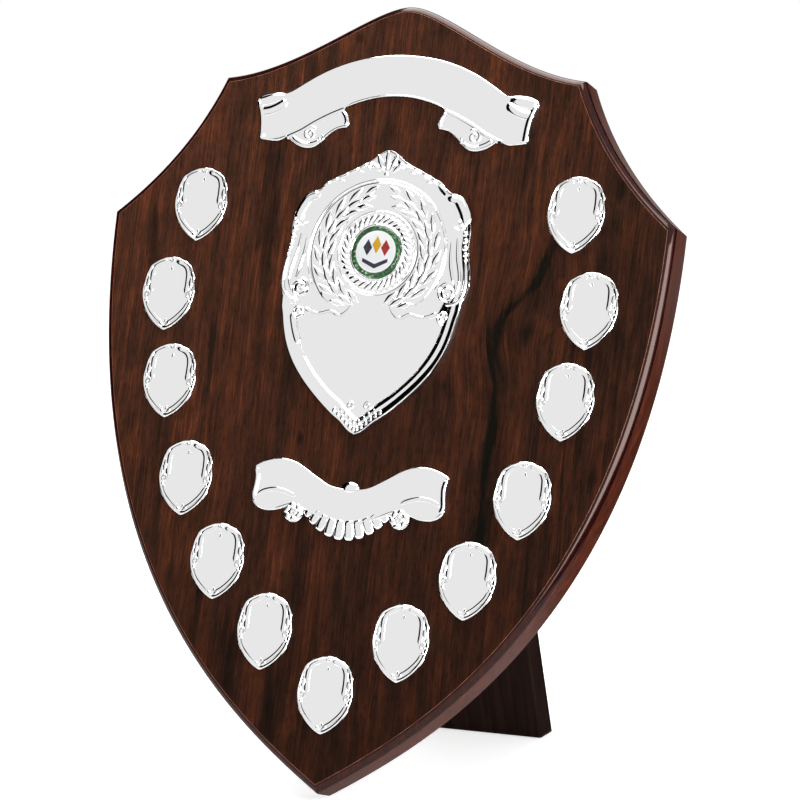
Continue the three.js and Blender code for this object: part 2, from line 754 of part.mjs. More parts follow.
addMesh(trims, 'centre_shield', centreShieldGeometry(), finishes.nickel).position.y = centreTipHeight;
const discZ = centrePanelHeight + seatThickness + fitGap;
addMesh(trims, 'centre_disc', discGeometry(), finishes.print).position.set(0, medallionHeight, discZ);
const domeZ = discZ + discThickness + fitGap;
addMesh(trims, 'disc_dome', domeGeometry(), finishes.dome).position.set(0, medallionHeight, domeZ);
addMesh(trims, 'arched_scroll', archedScrollGeometry(), finishes.nickel).position.y = archFootHeight;
addMesh(trims, 'winged_scroll', wingedScrollGeometry(), finishes.nickel).position.y = wingFootHeight;

const tapeThickness = (panelHeight) => panelHeight - sheetWall - fitGap;
const archTape = tapeGeometry(archTapeWidth, archTapeHeight, tapeThickness(archPanelHeight));
[-1, 1].forEach((side) => {
  const tape = addMesh(trims, `arch_tape_${side < 0 ? 'left' : 'right'}`, archTape.clone(), finishes.tape);
  const rise = archTapeShare[1] * archHeight;
  tape.position.set(side * archTapeShare[0] * archHalfWidth, archFootHeight + rise, 0);
  tape.rotation.z = -side * archTapeTurn;
});
const centreTape = tapeGeometry(centreTapeWidth, centreTapeHeight, tapeThickness(centreCoveHeight));
const centreTapeY = centreTipHeight + centreTapeShare * centreHeight;
addMesh(trims, 'centre_tape', centreTape, finishes.tape).position.y = centreTapeY;
const wingTape = tapeGeometry(wingTapeWidth, wingTapeHeight, tapeThickness(wingPanelHeight));
addMesh(trims, 'wing_tape', wingTape, finishes.tape).position.y = wingFootHeight + wingTapeShare * wingHeight;

// Hinge: the outer knuckles belong to the board's leaf and the middle one to the leg's
const middleKnuckle = hingeWidth * middleKnuckleShare / 2;
const outerKnuckles = [
  [-hingeWidth / 2, -middleKnuckle - knuckleGap],
  [middleKnuckle + knuckleGap, hingeWidth / 2],
];
const hinge = new THREE.Group();
hinge.position.set(0, hingeHeight, -boardThickness - hingeStandoff);
board.add(hinge);
addMesh(hinge, 'hinge_leaf_board', leafGeometry(outerKnuckles), finishes.steel);
addMesh(hinge, 'hinge_pin', hingePinGeometry(), finishes.steel);

const leg = new THREE.Group();
leg.rotation.x = openAngle;
hinge.add(leg);
addMesh(leg, 'leg_panel', legGeometry(), finishes.leg);
const legLeaf = leafGeometry([[-middleKnuckle, middleKnuckle]]).rotateY(Math.PI);
addMesh(leg, 'hinge_leaf_leg', legLeaf, finishes.steel);
screwXs().forEach((x, k) => {
  const side = k ? 'right' : 'left';
  const y = -leafLength * screwDropShare;
  const intoBoard = screwGeometry().rotateY(Math.PI);
  addMesh(hinge, `board_screw_${side}`, intoBoard, finishes.steel).position.set(x, y, leafInnerFace());
  addMesh(leg, `leg_screw_${side}`, screwGeometry(), finishes.steel).position.set(x, y, -leafInnerFace());
});

// The board leans back, and the whole part moves so that its footprint's middle is the origin
board.rotation.x = Math.PI / 2 - leanAngle;
const shield = new THREE.Group();
shield.add(board);
shield.updateMatrixWorld(true);
const bounds = new THREE.Box3().setFromObject(shield, true);
const middle = bounds.getCenter(new THREE.Vector3());
board.position.set(-middle.x, -middle.y, -bounds.min.z);
shield.updateMatrixWorld(true);

export default shield;
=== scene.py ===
import math

import bmesh
import bpy
from mathutils import Matrix, Vector
from mathutils.geometry import interpolate_bezier


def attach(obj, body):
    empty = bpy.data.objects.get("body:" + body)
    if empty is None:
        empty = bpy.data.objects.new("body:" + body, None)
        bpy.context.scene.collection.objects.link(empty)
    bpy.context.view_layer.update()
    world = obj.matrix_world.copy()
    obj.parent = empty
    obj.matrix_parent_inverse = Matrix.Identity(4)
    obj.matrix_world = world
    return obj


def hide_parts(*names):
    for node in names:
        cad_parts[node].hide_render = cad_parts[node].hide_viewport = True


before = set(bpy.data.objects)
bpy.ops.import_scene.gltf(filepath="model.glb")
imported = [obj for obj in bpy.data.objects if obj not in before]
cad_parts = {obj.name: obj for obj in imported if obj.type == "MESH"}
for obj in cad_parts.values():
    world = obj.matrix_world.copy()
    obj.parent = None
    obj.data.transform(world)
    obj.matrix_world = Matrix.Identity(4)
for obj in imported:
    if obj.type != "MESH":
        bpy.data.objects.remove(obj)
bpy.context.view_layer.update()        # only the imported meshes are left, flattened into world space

scene = bpy.context.scene
print("frame loaded:", len(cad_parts), "nodes")

# the board leans back on its tip; all on it is drawn in mm: x across, y up its face, z out of it
boardPose = {"lean": math.radians(17.2), "legLean": math.radians(-17.6), "tip": (0.0, -89.1024, 9.5345)}
boardPlace = (
    Matrix.Scale(0.001, 4)
    @ Matrix.Translation(boardPose["tip"])
    @ Matrix.Rotation(math.pi / 2 - boardPose["lean"], 4, "X")
)


# small tools
drawing = {
    "onMiddle": 1e-6, "sameSpot": 1e-4, "levelDot": 0.99999,
    "handleLimit": 1.3, "curveSteps": 4, "shrinkStep": 0.12,
    # leaves: how fast their tips draw in and how wide the midrib is; how much narrower a rolled end's steep flank is
    "leafTaper": 1.5, "midrib": 0.25, "crease": 0.3, "steepFlank": 0.35,
    # a pressed line is the top of a strand that is wider and taller than what shows above the sheet
    "ridgeWidth": 1.3, "ridgeHeight": 2.77, "ridgeSides": 14, "ridgeTaper": 2.4,
}


def hexColour(text):
    channels = [int(text[i:i + 2], 16) / 255 for i in (0, 2, 4)]
    linear = [c / 12.92 if c <= 0.04045 else ((c + 0.055) / 1.055) ** 2.4 for c in channels]
    return (*linear, 1.0)


def addNode(tree, kind, inputs=None, **settings):
    node = tree.nodes.new(kind)
    for key, value in settings.items():
        setattr(node, key, value)
    for socket, value in (inputs or {}).items():
        if isinstance(value, bpy.types.NodeSocket):
            tree.links.new(value, node.inputs[socket])
        else:
            node.inputs[socket].default_value = value
    return node


def newMaterial(name, **sockets):
    material = bpy.data.materials.new(name)
    material.use_nodes = True
    tree = material.node_tree
    shader = tree.nodes["Principled BSDF"]
    for socket, value in sockets.items():
        shader.inputs[socket.replace("_", " ")].default_value = value
    return material, tree, shader


def boardSpace(tree, width, length, depth=1.0, lean=boardPose["lean"]):
    # a pattern's space on the leaning board: one unit is one feature across and along the grain, in mm
    coordinates = addNode(tree, "ShaderNodeTexCoord")
    space = addNode(tree, "ShaderNodeMapping", {
        "Vector": coordinates.outputs["Object"],
        "Location": [value * 0.001 for value in boardPose["tip"]],
        "Rotation": (math.pi / 2 - lean, 0, 0),
        "Scale": (width * 0.001, length * 0.001, depth * 0.001),
    }, vector_type="TEXTURE")
    return space.outputs["Vector"]


def colourRamp(tree, factor, stops):
    ramp = addNode(tree, "ShaderNodeValToRGB", {"Fac": factor})
    elements = ramp.color_ramp.elements
    while len(elements) < len(stops):
        elements.new(0.5)
    for element, (position, text) in zip(elements, stops):
        element.position = position
        element.color = hexColour(text)
    return ramp.outputs["Color"]


def mottle(tree, shader, space, detail, stops, **more):
    # a base colour that wanders between these stops with noise
    noise = addNode(tree, "ShaderNodeTexNoise", {"Vector": space, "Scale": 1.0, "Detail": detail, **more})
    tree.links.new(colourRamp(tree, noise.outputs["Fac"], stops), shader.inputs["Base Color"])


def finishPiece(name, bm, place, materials, body, stands, angle=38):
    bmesh.ops.transform(bm, matrix=place, verts=bm.verts)
    mesh = bpy.data.meshes.new(name)
    bm.to_mesh(mesh)
    bm.free()
    for material in materials:
        mesh.materials.append(material)
    mesh.shade_smooth()
    mesh.set_sharp_from_angle(angle=math.radians(angle))
    outward = place.to_3x3().normalized() @ Vector((0, 0, 1))
    for face in mesh.polygons:
        # level faces stay level in the mirror finish, whatever leans on their rim
        face.use_smooth = len(face.vertices) < 5 and abs(face.normal.dot(outward)) < drawing["levelDot"]
    piece = bpy.data.objects.new(name, mesh)
    scene.collection.objects.link(piece)
    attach(piece, body)
    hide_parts(*stands)


def smoothOutline(rightHalf, perSpan, corners):
    # the right half runs from the bottom up; the left half is its mirror, and corners stay sharp
    half = [Vector((x, y, 0)) for x, y in rightHalf]
    sharp = [i in corners for i in range(len(half))]
    left = [(p, isSharp) for p, isSharp in zip(half, sharp) if p.x > drawing["onMiddle"]][::-1]
    points = half + [Vector((-p.x, p.y, 0)) for p, isSharp in left]
    sharp += [isSharp for p, isSharp in left]
    count = len(points)
    outline = []
    for i in range(count):
        here, there = points[i], points[(i + 1) % count]
        before, after = points[i - 1], points[(i + 2) % count]
        leave = (there - here) if sharp[i] else (there - before) / 2
        arrive = (there - here) if sharp[(i + 1) % count] else (after - here) / 2
        longest = (there - here).length * drawing["handleLimit"]
        leave = leave.normalized() * min(leave.length, longest)
        arrive = arrive.normalized() * min(arrive.length, longest)
        span = interpolate_bezier(here, here + leave / 3, there - arrive / 3, there, perSpan + 1)
        outline.extend(span[:-1])
    return outline


def faceFrom(bm, points):
    return bm.faces.new([bm.verts.new(point) for point in points])


def closeBottom(bm, verts):
    bottom = bm.faces.new(verts)
    bmesh.ops.recalc_face_normals(bm, faces=bm.faces)
    return bottom


def absorb(bm, part):
    # a small part is shaped by itself and then added to its piece, which keeps each step light
    scratch = bpy.data.meshes.new("scratch")
    part.to_mesh(scratch)
    part.free()
    bm.from_mesh(scratch)
    bpy.data.meshes.remove(scratch)


def addLoft(bm, rings, materialIndex=0):
    # a closed body through these rings of points: each cap is extruded and the new one moved to the next ring
    body = bmesh.new()
    face = faceFrom(body, rings[0])
    bottom = list(face.verts)
    for ring in rings[1:]:
        face = bmesh.ops.extrude_discrete_faces(body, faces=[face])["faces"][0]
        for vert, spot in zip(face.verts, ring):
            vert.co = spot
    closeBottom(body, bottom)
    for face in body.faces:
        face.material_index = materialIndex
    absorb(bm, body)


def addBead(bm, x, y, z, radius, height):
    bead = bmesh.new()
    place = Matrix.Translation((x, y, z)) @ Matrix.Diagonal((1, 1, height / radius, 1))
    bmesh.ops.create_uvsphere(bead, u_segments=16, v_segments=10, radius=radius, matrix=place)
    absorb(bm, bead)


def addLeaf(bm, x, y, z, length, width, height, turn, point=0.5, crease=0.0, lean=0.0):
    # a small cushioned leaf: turn is its direction from +x, point draws its tips in, crease is its midrib
    leaf = bmesh.new()
    lying = Matrix.Rotation(math.pi / 2, 4, "Y")
    bmesh.ops.create_uvsphere(leaf, u_segments=16, v_segments=12, radius=1, matrix=lying)
    for vert in leaf.verts:
        along, across, up = vert.co
        across *= 1 - point * abs(along) ** drawing["leafTaper"]
        up -= crease * math.exp(-(across / drawing["midrib"]) ** 2) if up > 0 else 0
        vert.co = (along * length / 2, across * width / 2, up * height + along * lean)
    place = Matrix.Translation((x, y, z)) @ Matrix.Rotation(turn, 4, "Z")
    bmesh.ops.transform(leaf, matrix=place, verts=leaf.verts)
    absorb(bm, leaf)


def sideTurn(s, turn):
    # s is 1 on the right half and -1 on the left, where a direction in degrees from +x is mirrored
    return math.radians(turn if s > 0 else 180 - turn)


def addSpray(bm, s, leaves, z, height, point):
    # creased leaves on one side: middle x, middle y, length, width and direction
    for x, y, long, wide, turn in leaves:
        addLeaf(bm, s * x, y, z, long, wide, height, sideTurn(s, turn), point, drawing["crease"])


def addTube(bm, path, radii, sides=10, squash=1.0, flanks=(1, 1), boxy=1.0):
    # a closed strand swept along a path that lies about flat on the board; flanks makes one side steeper
    rings = []
    for i, point in enumerate(path):
        ahead = path[min(i + 1, len(path) - 1)] - path[max(i - 1, 0)]
        across = Vector((ahead.y, -ahead.x, 0)).normalized()
        radius = radii[i] if isinstance(radii, list) else radii
        ring = []
        for k in range(sides):
            cosine, sine = math.cos(math.tau * k / sides), math.sin(math.tau * k / sides)
            reach = math.copysign(abs(cosine) ** boxy, cosine) * flanks[cosine > 0]
            rise = math.copysign(abs(sine) ** boxy, sine) * squash
            ring.append(point + across * radius * reach + Vector((0, 0, radius * rise)))
        rings.append(ring)
    addLoft(bm, rings)


def shrunk(ring, amount):
    # moves a closed outline inwards a little at a time, evening it out so that its corners never cross
    count = len(ring)
    rounds = max(1, math.ceil(amount / drawing["shrinkStep"]))
    for _ in range(rounds):
        moved = []
        for i in range(count):
            edge = ring[(i + 1) % count] - ring[i - 1]
            inward = Vector((-edge.y, edge.x, 0)).normalized()
            moved.append(ring[i] + inward * amount / rounds)
        ring = [moved[i] * 0.5 + (moved[i - 1] + moved[(i + 1) % count]) * 0.25 for i in range(count)]
    return ring


def addPlate(bm, outline, steps):
    # a plate with a rolled edge: each step is an inset from the line before and a height
    rings = []
    for inset, height in steps:
        outline = shrunk(outline, inset) if inset else outline
        rings.append([Vector((point.x, point.y, height)) for point in outline])
    addLoft(bm, rings)


def addLathe(bm, profile, steps):
    # turns a half profile of radii and heights about its own axis
    verts = [bm.verts.new((radius, 0, height)) for radius, height in profile]
    edges = [bm.edges.new(pair) for pair in zip(verts, verts[1:])]
    bmesh.ops.spin(bm, geom=verts + edges, cent=(0, 0, 0), axis=(0, 0, 1), angle=math.tau, steps=steps,
                   use_merge=True, use_duplicate=False)
    bmesh.ops.remove_doubles(bm, verts=bm.verts, dist=drawing["sameSpot"])
    bmesh.ops.recalc_face_normals(bm, faces=bm.faces)


def arcPath(x, y, z, radius, start, end, steps):
    turns = [math.radians(start + (end - start) * i / steps) for i in range(steps + 1)]
    return [Vector((x + radius * math.cos(t), y + radius * math.sin(t), z)) for t in turns]


def addCurl(bm, s, x, y, z, outer, inner, start, sweep, steps, thick, sides=8, squash=1.0):
    # a strand rolled up from its outer to its inner radius, drawn for the right half and mirrored on the left
    path = []
    for i in range(steps + 1):
        share = i / steps
        turn = math.radians((start if s > 0 else 180 - start) + s * sweep * share)
        radius = outer + (inner - outer) * share
        path.append(Vector((s * x + radius * math.cos(turn), y + radius * math.sin(turn), z)))
    addTube(bm, path, thick, sides, squash=squash)


def curvePath(s, points, z):
    spots = [Vector((s * x, y, z)) for x, y in points]
    path = []
    for i in range(len(spots) - 1):
        here, there = spots[i], spots[i + 1]
        leave = (there - spots[max(i - 1, 0)]) / 2
        arrive = (spots[min(i + 2, len(spots) - 1)] - here) / 2
        span = interpolate_bezier(here, here + leave / 3, there - arrive / 3, there, drawing["curveSteps"] + 1)
        path.extend(span[:-1])
    return path + [spots[-1]]


def bulge(path):
    # 0 at both ends of a path and 1 in its middle
    return [math.sin(math.pi * i / (len(path) - 1)) for i in range(len(path))]


def addRidge(bm, s, points, level, halfWidth, height, ends=0.3):
    # a low rounded line pressed up from the sheet at this level, thinner at its ends
    path = curvePath(s, points, 0)
    swell = [min(1, ends + drawing["ridgeTaper"] * share) for share in bulge(path)]
    radius, rise = drawing["ridgeWidth"] * halfWidth, drawing["ridgeHeight"] * height
    for point, share in zip(path, swell):
        point.z = level + (height - rise) * share
    addTube(bm, path, [radius * share for share in swell], drawing["ridgeSides"], squash=rise / radius)


def addLip(bm, s, points, z, radii, sides, squash, outward=1):
    # a rolled end: it rises slowly from the panel and drops off steeply at the edge
    path = curvePath(s, points, z)
    first, middle, last = radii
    flanks = (drawing["steepFlank"], 1) if s * outward > 0 else (1, drawing["steepFlank"])
    addTube(bm, path, [first, *[middle] * (len(path) - 2), last], sides, squash=squash, flanks=flanks)


def addRadialShell(bm, outline, centre, steps, heightOf, rounds=36):
    # rings pulled in towards the middle, each ring's outline smoother than the one outside it
    count = len(outline)
    middle = Vector((*centre, 0))
    reaches = [(p - middle).length for p in outline]
    rays = [(p - middle).normalized() for p in outline]
    soft = list(reaches)
    for _ in range(rounds):
        soft = [(soft[i - 1] + 2 * soft[i] + soft[(i + 1) % count]) / 4 for i in range(count)]
    slant = []
    for i in range(count):
        edge = rays[(i + 2) % count] * soft[(i + 2) % count] - rays[i - 2] * soft[i - 2]
        normal = Vector((edge.y, -edge.x, 0)).normalized()
        slant.append(min(1 / max(normal.dot(rays[i]), 0.5), 1.6))
    rings = [[Vector((p.x, p.y, steps[0][1])) for p in outline]]
    for inset, height, blend in steps[1:]:
        ring = []
        for i in range(count):
            reach = reaches[i] * (1 - blend) + soft[i] * blend - inset * slant[i]
            spot = middle + rays[i] * reach
            ring.append(Vector((spot.x, spot.y, heightOf(spot, inset, height))))
        rings.append(ring)
    addLoft(bm, rings)


# materials: veneer and moulding of the board

# rosewood veneer, sliced, glued down and sprayed with satin lacquer: dark streaked figure, hardly any reflection
veneer, tree, shader = newMaterial("rosewoodVeneerSatinLacquer", Roughness=0.25, Specular_IOR_Level=0.02)
flat = boardSpace(tree, 1, 1)
figure = {
    # each layer of noise: how wide and how long its features are in mm, detail, distortion, roughness
    "drift": (52, 96, 1.0, 0.0, 0.55), "bands": (15, 300, 2.0, 0.0, 0.55), "streaks": (2.4, 150, 4.0, 0.0, 0.7),
    "patches": (6, 16, 3.0, 0.5, 0.55), "fibres": (0.75, 22, 3.0, 0.0, 0.6), "pores": (0.5, 4.5, 1.0, 0.0, 0.55),
    "ragged": (4, 26, 3.0, 0.5, 0.55), "smoke": (12, 150, 3.0, 0.4, 0.55),
    "toneShares": {"bands": 0.36, "streaks": 0.36, "patches": 0.28},
    "tones": ((0.37, "231811"), (0.45, "311d14"), (0.50, "3a2117"), (0.55, "452517"), (0.63, "582e1e")),
    # the grain runs nearly straight up, and swings round the crotch at the right: x, y, half width, half height
    "crotch": (66, 226, 40, 56), "crotchReach": (0.25, 1.3), "crotchSwing": 30.0, "plainSwing": 5.0,
    # mineral veins, ink dark: foot x, head x, the heights they bend between, half width, first and last y, strength
    "veins": (
        (66, 90, 202, 268, 3.4, 92, 284, 0.95), (68, 91, 200, 266, 7.5, 100, 276, 0.55),
        (68, 66, 140, 200, 2.6, 150, 240, 0.8), (-58, -62, 200, 300, 5.0, 228, 324, 0.65),
        (-57, -57, 100, 200, 2.2, 176, 252, 0.45), (-35, -35, 100, 200, 1.6, 166, 206, 0.6),
        (-52, -57, 40, 90, 5.5, 14, 88, 0.6), (-22, -22, 40, 100, 3.6, 46, 130, 0.5),
        (12, 12, 20, 120, 2.2, 62, 122, 0.4), (93, 91, 60, 200, 0.7, 30, 214, 0.6),
        (108, 104, 90, 200, 0.6, 84, 200, 0.6), (122, 126, 230, 290, 2.6, 262, 300, 0.7),
        (-46, -46, 300, 350, 2.4, 322, 362, 0.5),
    ),
    # how far a vein's edge strays, how soft it is, both in half widths, and how long its ends fade in mm
    "veinStray": (3.4, -0.5), "veinSoft": (-0.3, 0.9), "veinFade": 26,
    # pin knots: x, y, half width, half height
    "knots": (
        (-30, 162, 1.8, 3.0), (82, 218, 3.0, 6.0), (118, 288, 2.8, 6.0), (-23, 360, 2.0, 3.0),
        (120, 152, 2.2, 7.0), (41, 191, 1.4, 3.0), (-96, 262, 1.6, 4.0),
    ),
    "knotStray": (1.6, -0.8), "knotFade": (0.3, 1.4, 0.7, 0.0),
    "smokeFade": (0.56, 0.7, 0.0, 0.75),
    "ink": "0f0f0b",
    # factors on the colour: fibres and pores of the grain, and painted shade that darkens the sheet towards the tip,
    # where less light falls, and towards the right
    "fibreShade": (0.3, 0.7, 0.64, 1.42), "poreShade": (0.54, 0.68, 1.0, 0.62),
    "paintedShadeUp": (20, 360, 0.57, 1.3), "paintedShadeAcross": (-110, 110, 1.1, 0.8),
}


def grain(space, layer):
    width, length, detail, distortion, roughness = figure[layer]
    scaled = addNode(tree, "ShaderNodeVectorMath", {
        0: space, 1: (1 / width, 1 / length, 1.0)}, operation="MULTIPLY")
    noise = addNode(tree, "ShaderNodeTexNoise", {
        "Vector": scaled.outputs[0], "Scale": 1.0, "Detail": detail, "Roughness": roughness,
        "Distortion": distortion})
    return noise.outputs["Fac"]


def mathNode(operation, *values):
    return addNode(tree, "ShaderNodeMath", dict(enumerate(values)), operation=operation).outputs[0]


def remap(value, low, high, start=0.0, end=1.0, kind="LINEAR"):
    return addNode(tree, "ShaderNodeMapRange", {
        "Value": value, "From Min": low, "From Max": high, "To Min": start, "To Max": end},
        interpolation_type=kind).outputs["Result"]


def spotDistance(space, x, y, width, height):
    # 0 in the middle of an oval spot, 1 on its edge
    away = addNode(tree, "ShaderNodeVectorMath", {0: space, 1: (-x, -y, 0)}, operation="ADD")
    away = addNode(tree, "ShaderNodeVectorMath", {
        0: away.outputs[0], 1: (1 / width, 1 / height, 0)}, operation="MULTIPLY")
    return addNode(tree, "ShaderNodeVectorMath", {0: away.outputs[0]}, operation="LENGTH").outputs["Value"]


crotch = remap(spotDistance(flat, *figure["crotch"]), *figure["crotchReach"], 1.0, 0.0, "SMOOTHSTEP")
swing = mathNode("MULTIPLY_ADD", crotch, figure["crotchSwing"], figure["plainSwing"])
drift = mathNode("MULTIPLY", mathNode("SUBTRACT", grain(flat, "drift"), 0.5), swing)
shift = addNode(tree, "ShaderNodeCombineXYZ", {"X": drift})
wander = addNode(tree, "ShaderNodeVectorMath", {0: flat, 1: shift.outputs[0]}, operation="ADD").outputs[0]
tone = 0.0
for layer, share in figure["toneShares"].items():
    tone = mathNode("MULTIPLY_ADD", grain(wander, layer), share, tone)
woodColour = colourRamp(tree, tone, figure["tones"])

ragged = grain(wander, "ragged")
spot = addNode(tree, "ShaderNodeSeparateXYZ", {"Vector": wander}).outputs
ink = remap(grain(wander, "smoke"), *figure["smokeFade"])
for foot, head, bendLow, bendHigh, halfWidth, first, last, strength in figure["veins"]:
    middle = remap(spot["Y"], bendLow, bendHigh, foot, head, "SMOOTHSTEP")
    offset = mathNode("ABSOLUTE", mathNode("SUBTRACT", spot["X"], middle))
    reach = mathNode("MULTIPLY_ADD", ragged, *[halfWidth * share for share in figure["veinStray"]])
    low, high = [halfWidth * share for share in figure["veinSoft"]]
    core = remap(mathNode("SUBTRACT", reach, offset), low, high, 0.0, strength)
    rises = remap(spot["Y"], first, first + figure["veinFade"], 0.0, 1.0, "SMOOTHSTEP")
    falls = remap(spot["Y"], last - figure["veinFade"], last, 1.0, 0.0, "SMOOTHSTEP")
    ink = mathNode("MAXIMUM", ink, mathNode("MULTIPLY", core, mathNode("MULTIPLY", rises, falls)))
for knot in figure["knots"]:
    edge = mathNode("ADD", spotDistance(wander, *knot), mathNode("MULTIPLY_ADD", ragged, *figure["knotStray"]))
    ink = mathNode("MAXIMUM", ink, remap(edge, *figure["knotFade"]))
darkened = addNode(tree, "ShaderNodeMix", {0: ink, 6: woodColour, 7: hexColour(figure["ink"])}, data_type="RGBA")
fibres = grain(wander, "fibres")
# painted shade: the colour is scaled darker towards the tip and towards the right, in place of the lamps' fall-off
paintedLightFalloff = mathNode("MULTIPLY", remap(spot["Y"], *figure["paintedShadeUp"]), remap(spot["X"], *figure["paintedShadeAcross"]))
fineShade = mathNode("MULTIPLY", remap(fibres, *figure["fibreShade"]),
                     remap(grain(wander, "pores"), *figure["poreShade"]))
shade = mathNode("MULTIPLY", fineShade, paintedLightFalloff)
veneerColour = addNode(tree, "ShaderNodeVectorMath", {0: darkened.outputs[2], "Scale": shade}, operation="SCALE")
tree.links.new(veneerColour.outputs[0], shader.inputs["Base Color"])
fibreBump = addNode(tree, "ShaderNodeBump", {"Height": fibres, "Strength": 0.05, "Distance": 0.0002})
tree.links.new(fibreBump.outputs["Normal"], shader.inputs["Normal"])

# mahogany-stained beech moulding under gloss lacquer: redder than the face, with a long wet highlight, which the
# lacquer's toner warms
moulding, tree, shader = newMaterial(
    "stainedMouldingGlossLacquer", Roughness=0.13, Specular_IOR_Level=0.3, Specular_Tint=(1, 0.76, 0.68, 1))
mottle(tree, shader, boardSpace(tree, 2.5, 40, 2.5), 3.0, [(0.3, "190605"), (0.5, "260907"), (0.72, "380f0a")],
       Roughness=0.6)

# its upper arris: a thin pale brown line, a painted highlight where the sharp edge catches the light
arris, tree, shader = newMaterial("arrisPaintedHighlightLacquer", Roughness=0.3, Specular_IOR_Level=0.15)
mottle(tree, shader, boardSpace(tree, 9, 9, 9), 2.0, [(0.35, "6a3a2a"), (0.65, "93604a")])

# the board's squared side and back: the same stain wiped thinner, so lighter than the moulding and nearly matt
side, tree, shader = newMaterial("stainedBoardSideMatt", Roughness=0.4, Specular_IOR_Level=0.22)
mottle(tree, shader, boardSpace(tree, 3, 70, 3), 4.0, [(0.3, "38150a"), (0.5, "4e2010"), (0.7, "662c19")],
       Roughness=0.6, Distortion=0.2)

# beech leg stained near black-brown and lacquered thin: dull, with its long grain just showing
legWood, tree, shader = newMaterial("stainedLegSatin", Roughness=0.5, Specular_IOR_Level=0.05)
mottle(tree, shader, boardSpace(tree, 2.2, 60, 2.2, boardPose["legLean"]), 4.0,
       [(0.3, "170d0a"), (0.5, "22140f"), (0.7, "2e1c15")], Roughness=0.6)

# bright nickel on pressed steel sheet: mirror flats with a trace of orange peel from the polishing
nickel, tree, shader = newMaterial(
    "brightNickelPressedSheet", Metallic=1.0, Base_Color=hexColour("e7e7e7"))
polish = addNode(tree, "ShaderNodeTexNoise", {
    "Vector": boardSpace(tree, 2.5, 2.5, 2.5), "Scale": 1.0, "Detail": 1.0, "Roughness": 0.5})
polishBump = addNode(tree, "ShaderNodeBump", {"Height": polish.outputs["Fac"], "Strength": 0.05, "Distance": 0.0002})
tree.links.new(polishBump.outputs["Normal"], shader.inputs["Normal"])
smear = addNode(tree, "ShaderNodeMapRange", {
    "Value": polish.outputs["Fac"], "From Min": 0.3, "From Max": 0.7, "To Min": 0.03, "To Max": 0.07})
tree.links.new(smear.outputs["Result"], shader.inputs["Roughness"])
print("materials made")


# board: its face outline in mm, then the moulding as steps out and down from the face. The first is the arris,
# coloured as a painted highlight, and from glossSteps on they are matt like the side
boardShape = {
    "tip": (0, 0), "ear": (142.7, 268.9), "shoulder": (91.4, 336.9), "apex": (0, 372.8),
    "flank": ((50.2, 31.2), (141.1, 94.1)),
    "hollow": ((120.8, 287.1), (102.7, 309.3)),
    "crest": ((53.7, 341.2), (17.5, 372.8)),
    "mouldingSteps": ((0.2, 0.06), (0.08, 0.82), (0.45, 0.07), (0.3, 0.04), (0.4, 0.16), (0.6, 0.36), (0.65, 0.55),
                      (0.5, 0.6), (0.2, 0.55), (0.1, 0.7), (0.05, 0.75), (0.03, 0.35), (0.03, 0.35)),
    "glossSteps": 10,
    "squareSide": 13.24,
    "backChamfer": 0.4,
    # material numbers
    "veneer": 0, "moulding": 1, "side": 2, "arris": 3,
}


def boardHalf():
    corner = {key: Vector((*boardShape[key], 0)) for key in ("tip", "ear", "shoulder", "apex")}
    runs = (("tip", "flank", "ear", 72), ("ear", "hollow", "shoulder", 28), ("shoulder", "crest", "apex", 40))
    half = []
    for start, handles, end, steps in runs:
        near, far = [Vector((*point, 0)) for point in boardShape[handles]]
        half.extend(interpolate_bezier(corner[start], near, far, corner[end], steps + 1)[:-1])
    return half + [corner["apex"]]


def stepOut(bm, face, out, down):
    bmesh.ops.inset_region(bm, faces=[face], thickness=-out, depth=-down, use_even_offset=True, use_boundary=True)


def makeBoard():
    shape = boardShape
    half = boardHalf()
    left = [Vector((-p.x, p.y, 0)) for p in reversed(half) if p.x > drawing["onMiddle"]]
    bm = bmesh.new()
    face = faceFrom(bm, half + left)
    face.normal_update()
    rim = list(face.verts)
    for number, (out, down) in enumerate(shape["mouldingSteps"]):
        finish = "arris" if number == 0 else "moulding" if number < shape["glossSteps"] else "side"
        face.material_index = shape[finish]
        stepOut(bm, face, out, down)
    face.material_index = shape["side"]
    stepOut(bm, face, 0, shape["squareSide"])
    stepOut(bm, face, -shape["backChamfer"], shape["backChamfer"])
    front = closeBottom(bm, rim)
    front.material_index = shape["veneer"]
    finishPiece("boardVeneered", bm, boardPlace, [veneer, moulding, side, arris], "shield",
                ["shield_board"], angle=30)


makeBoard()
print("board made")


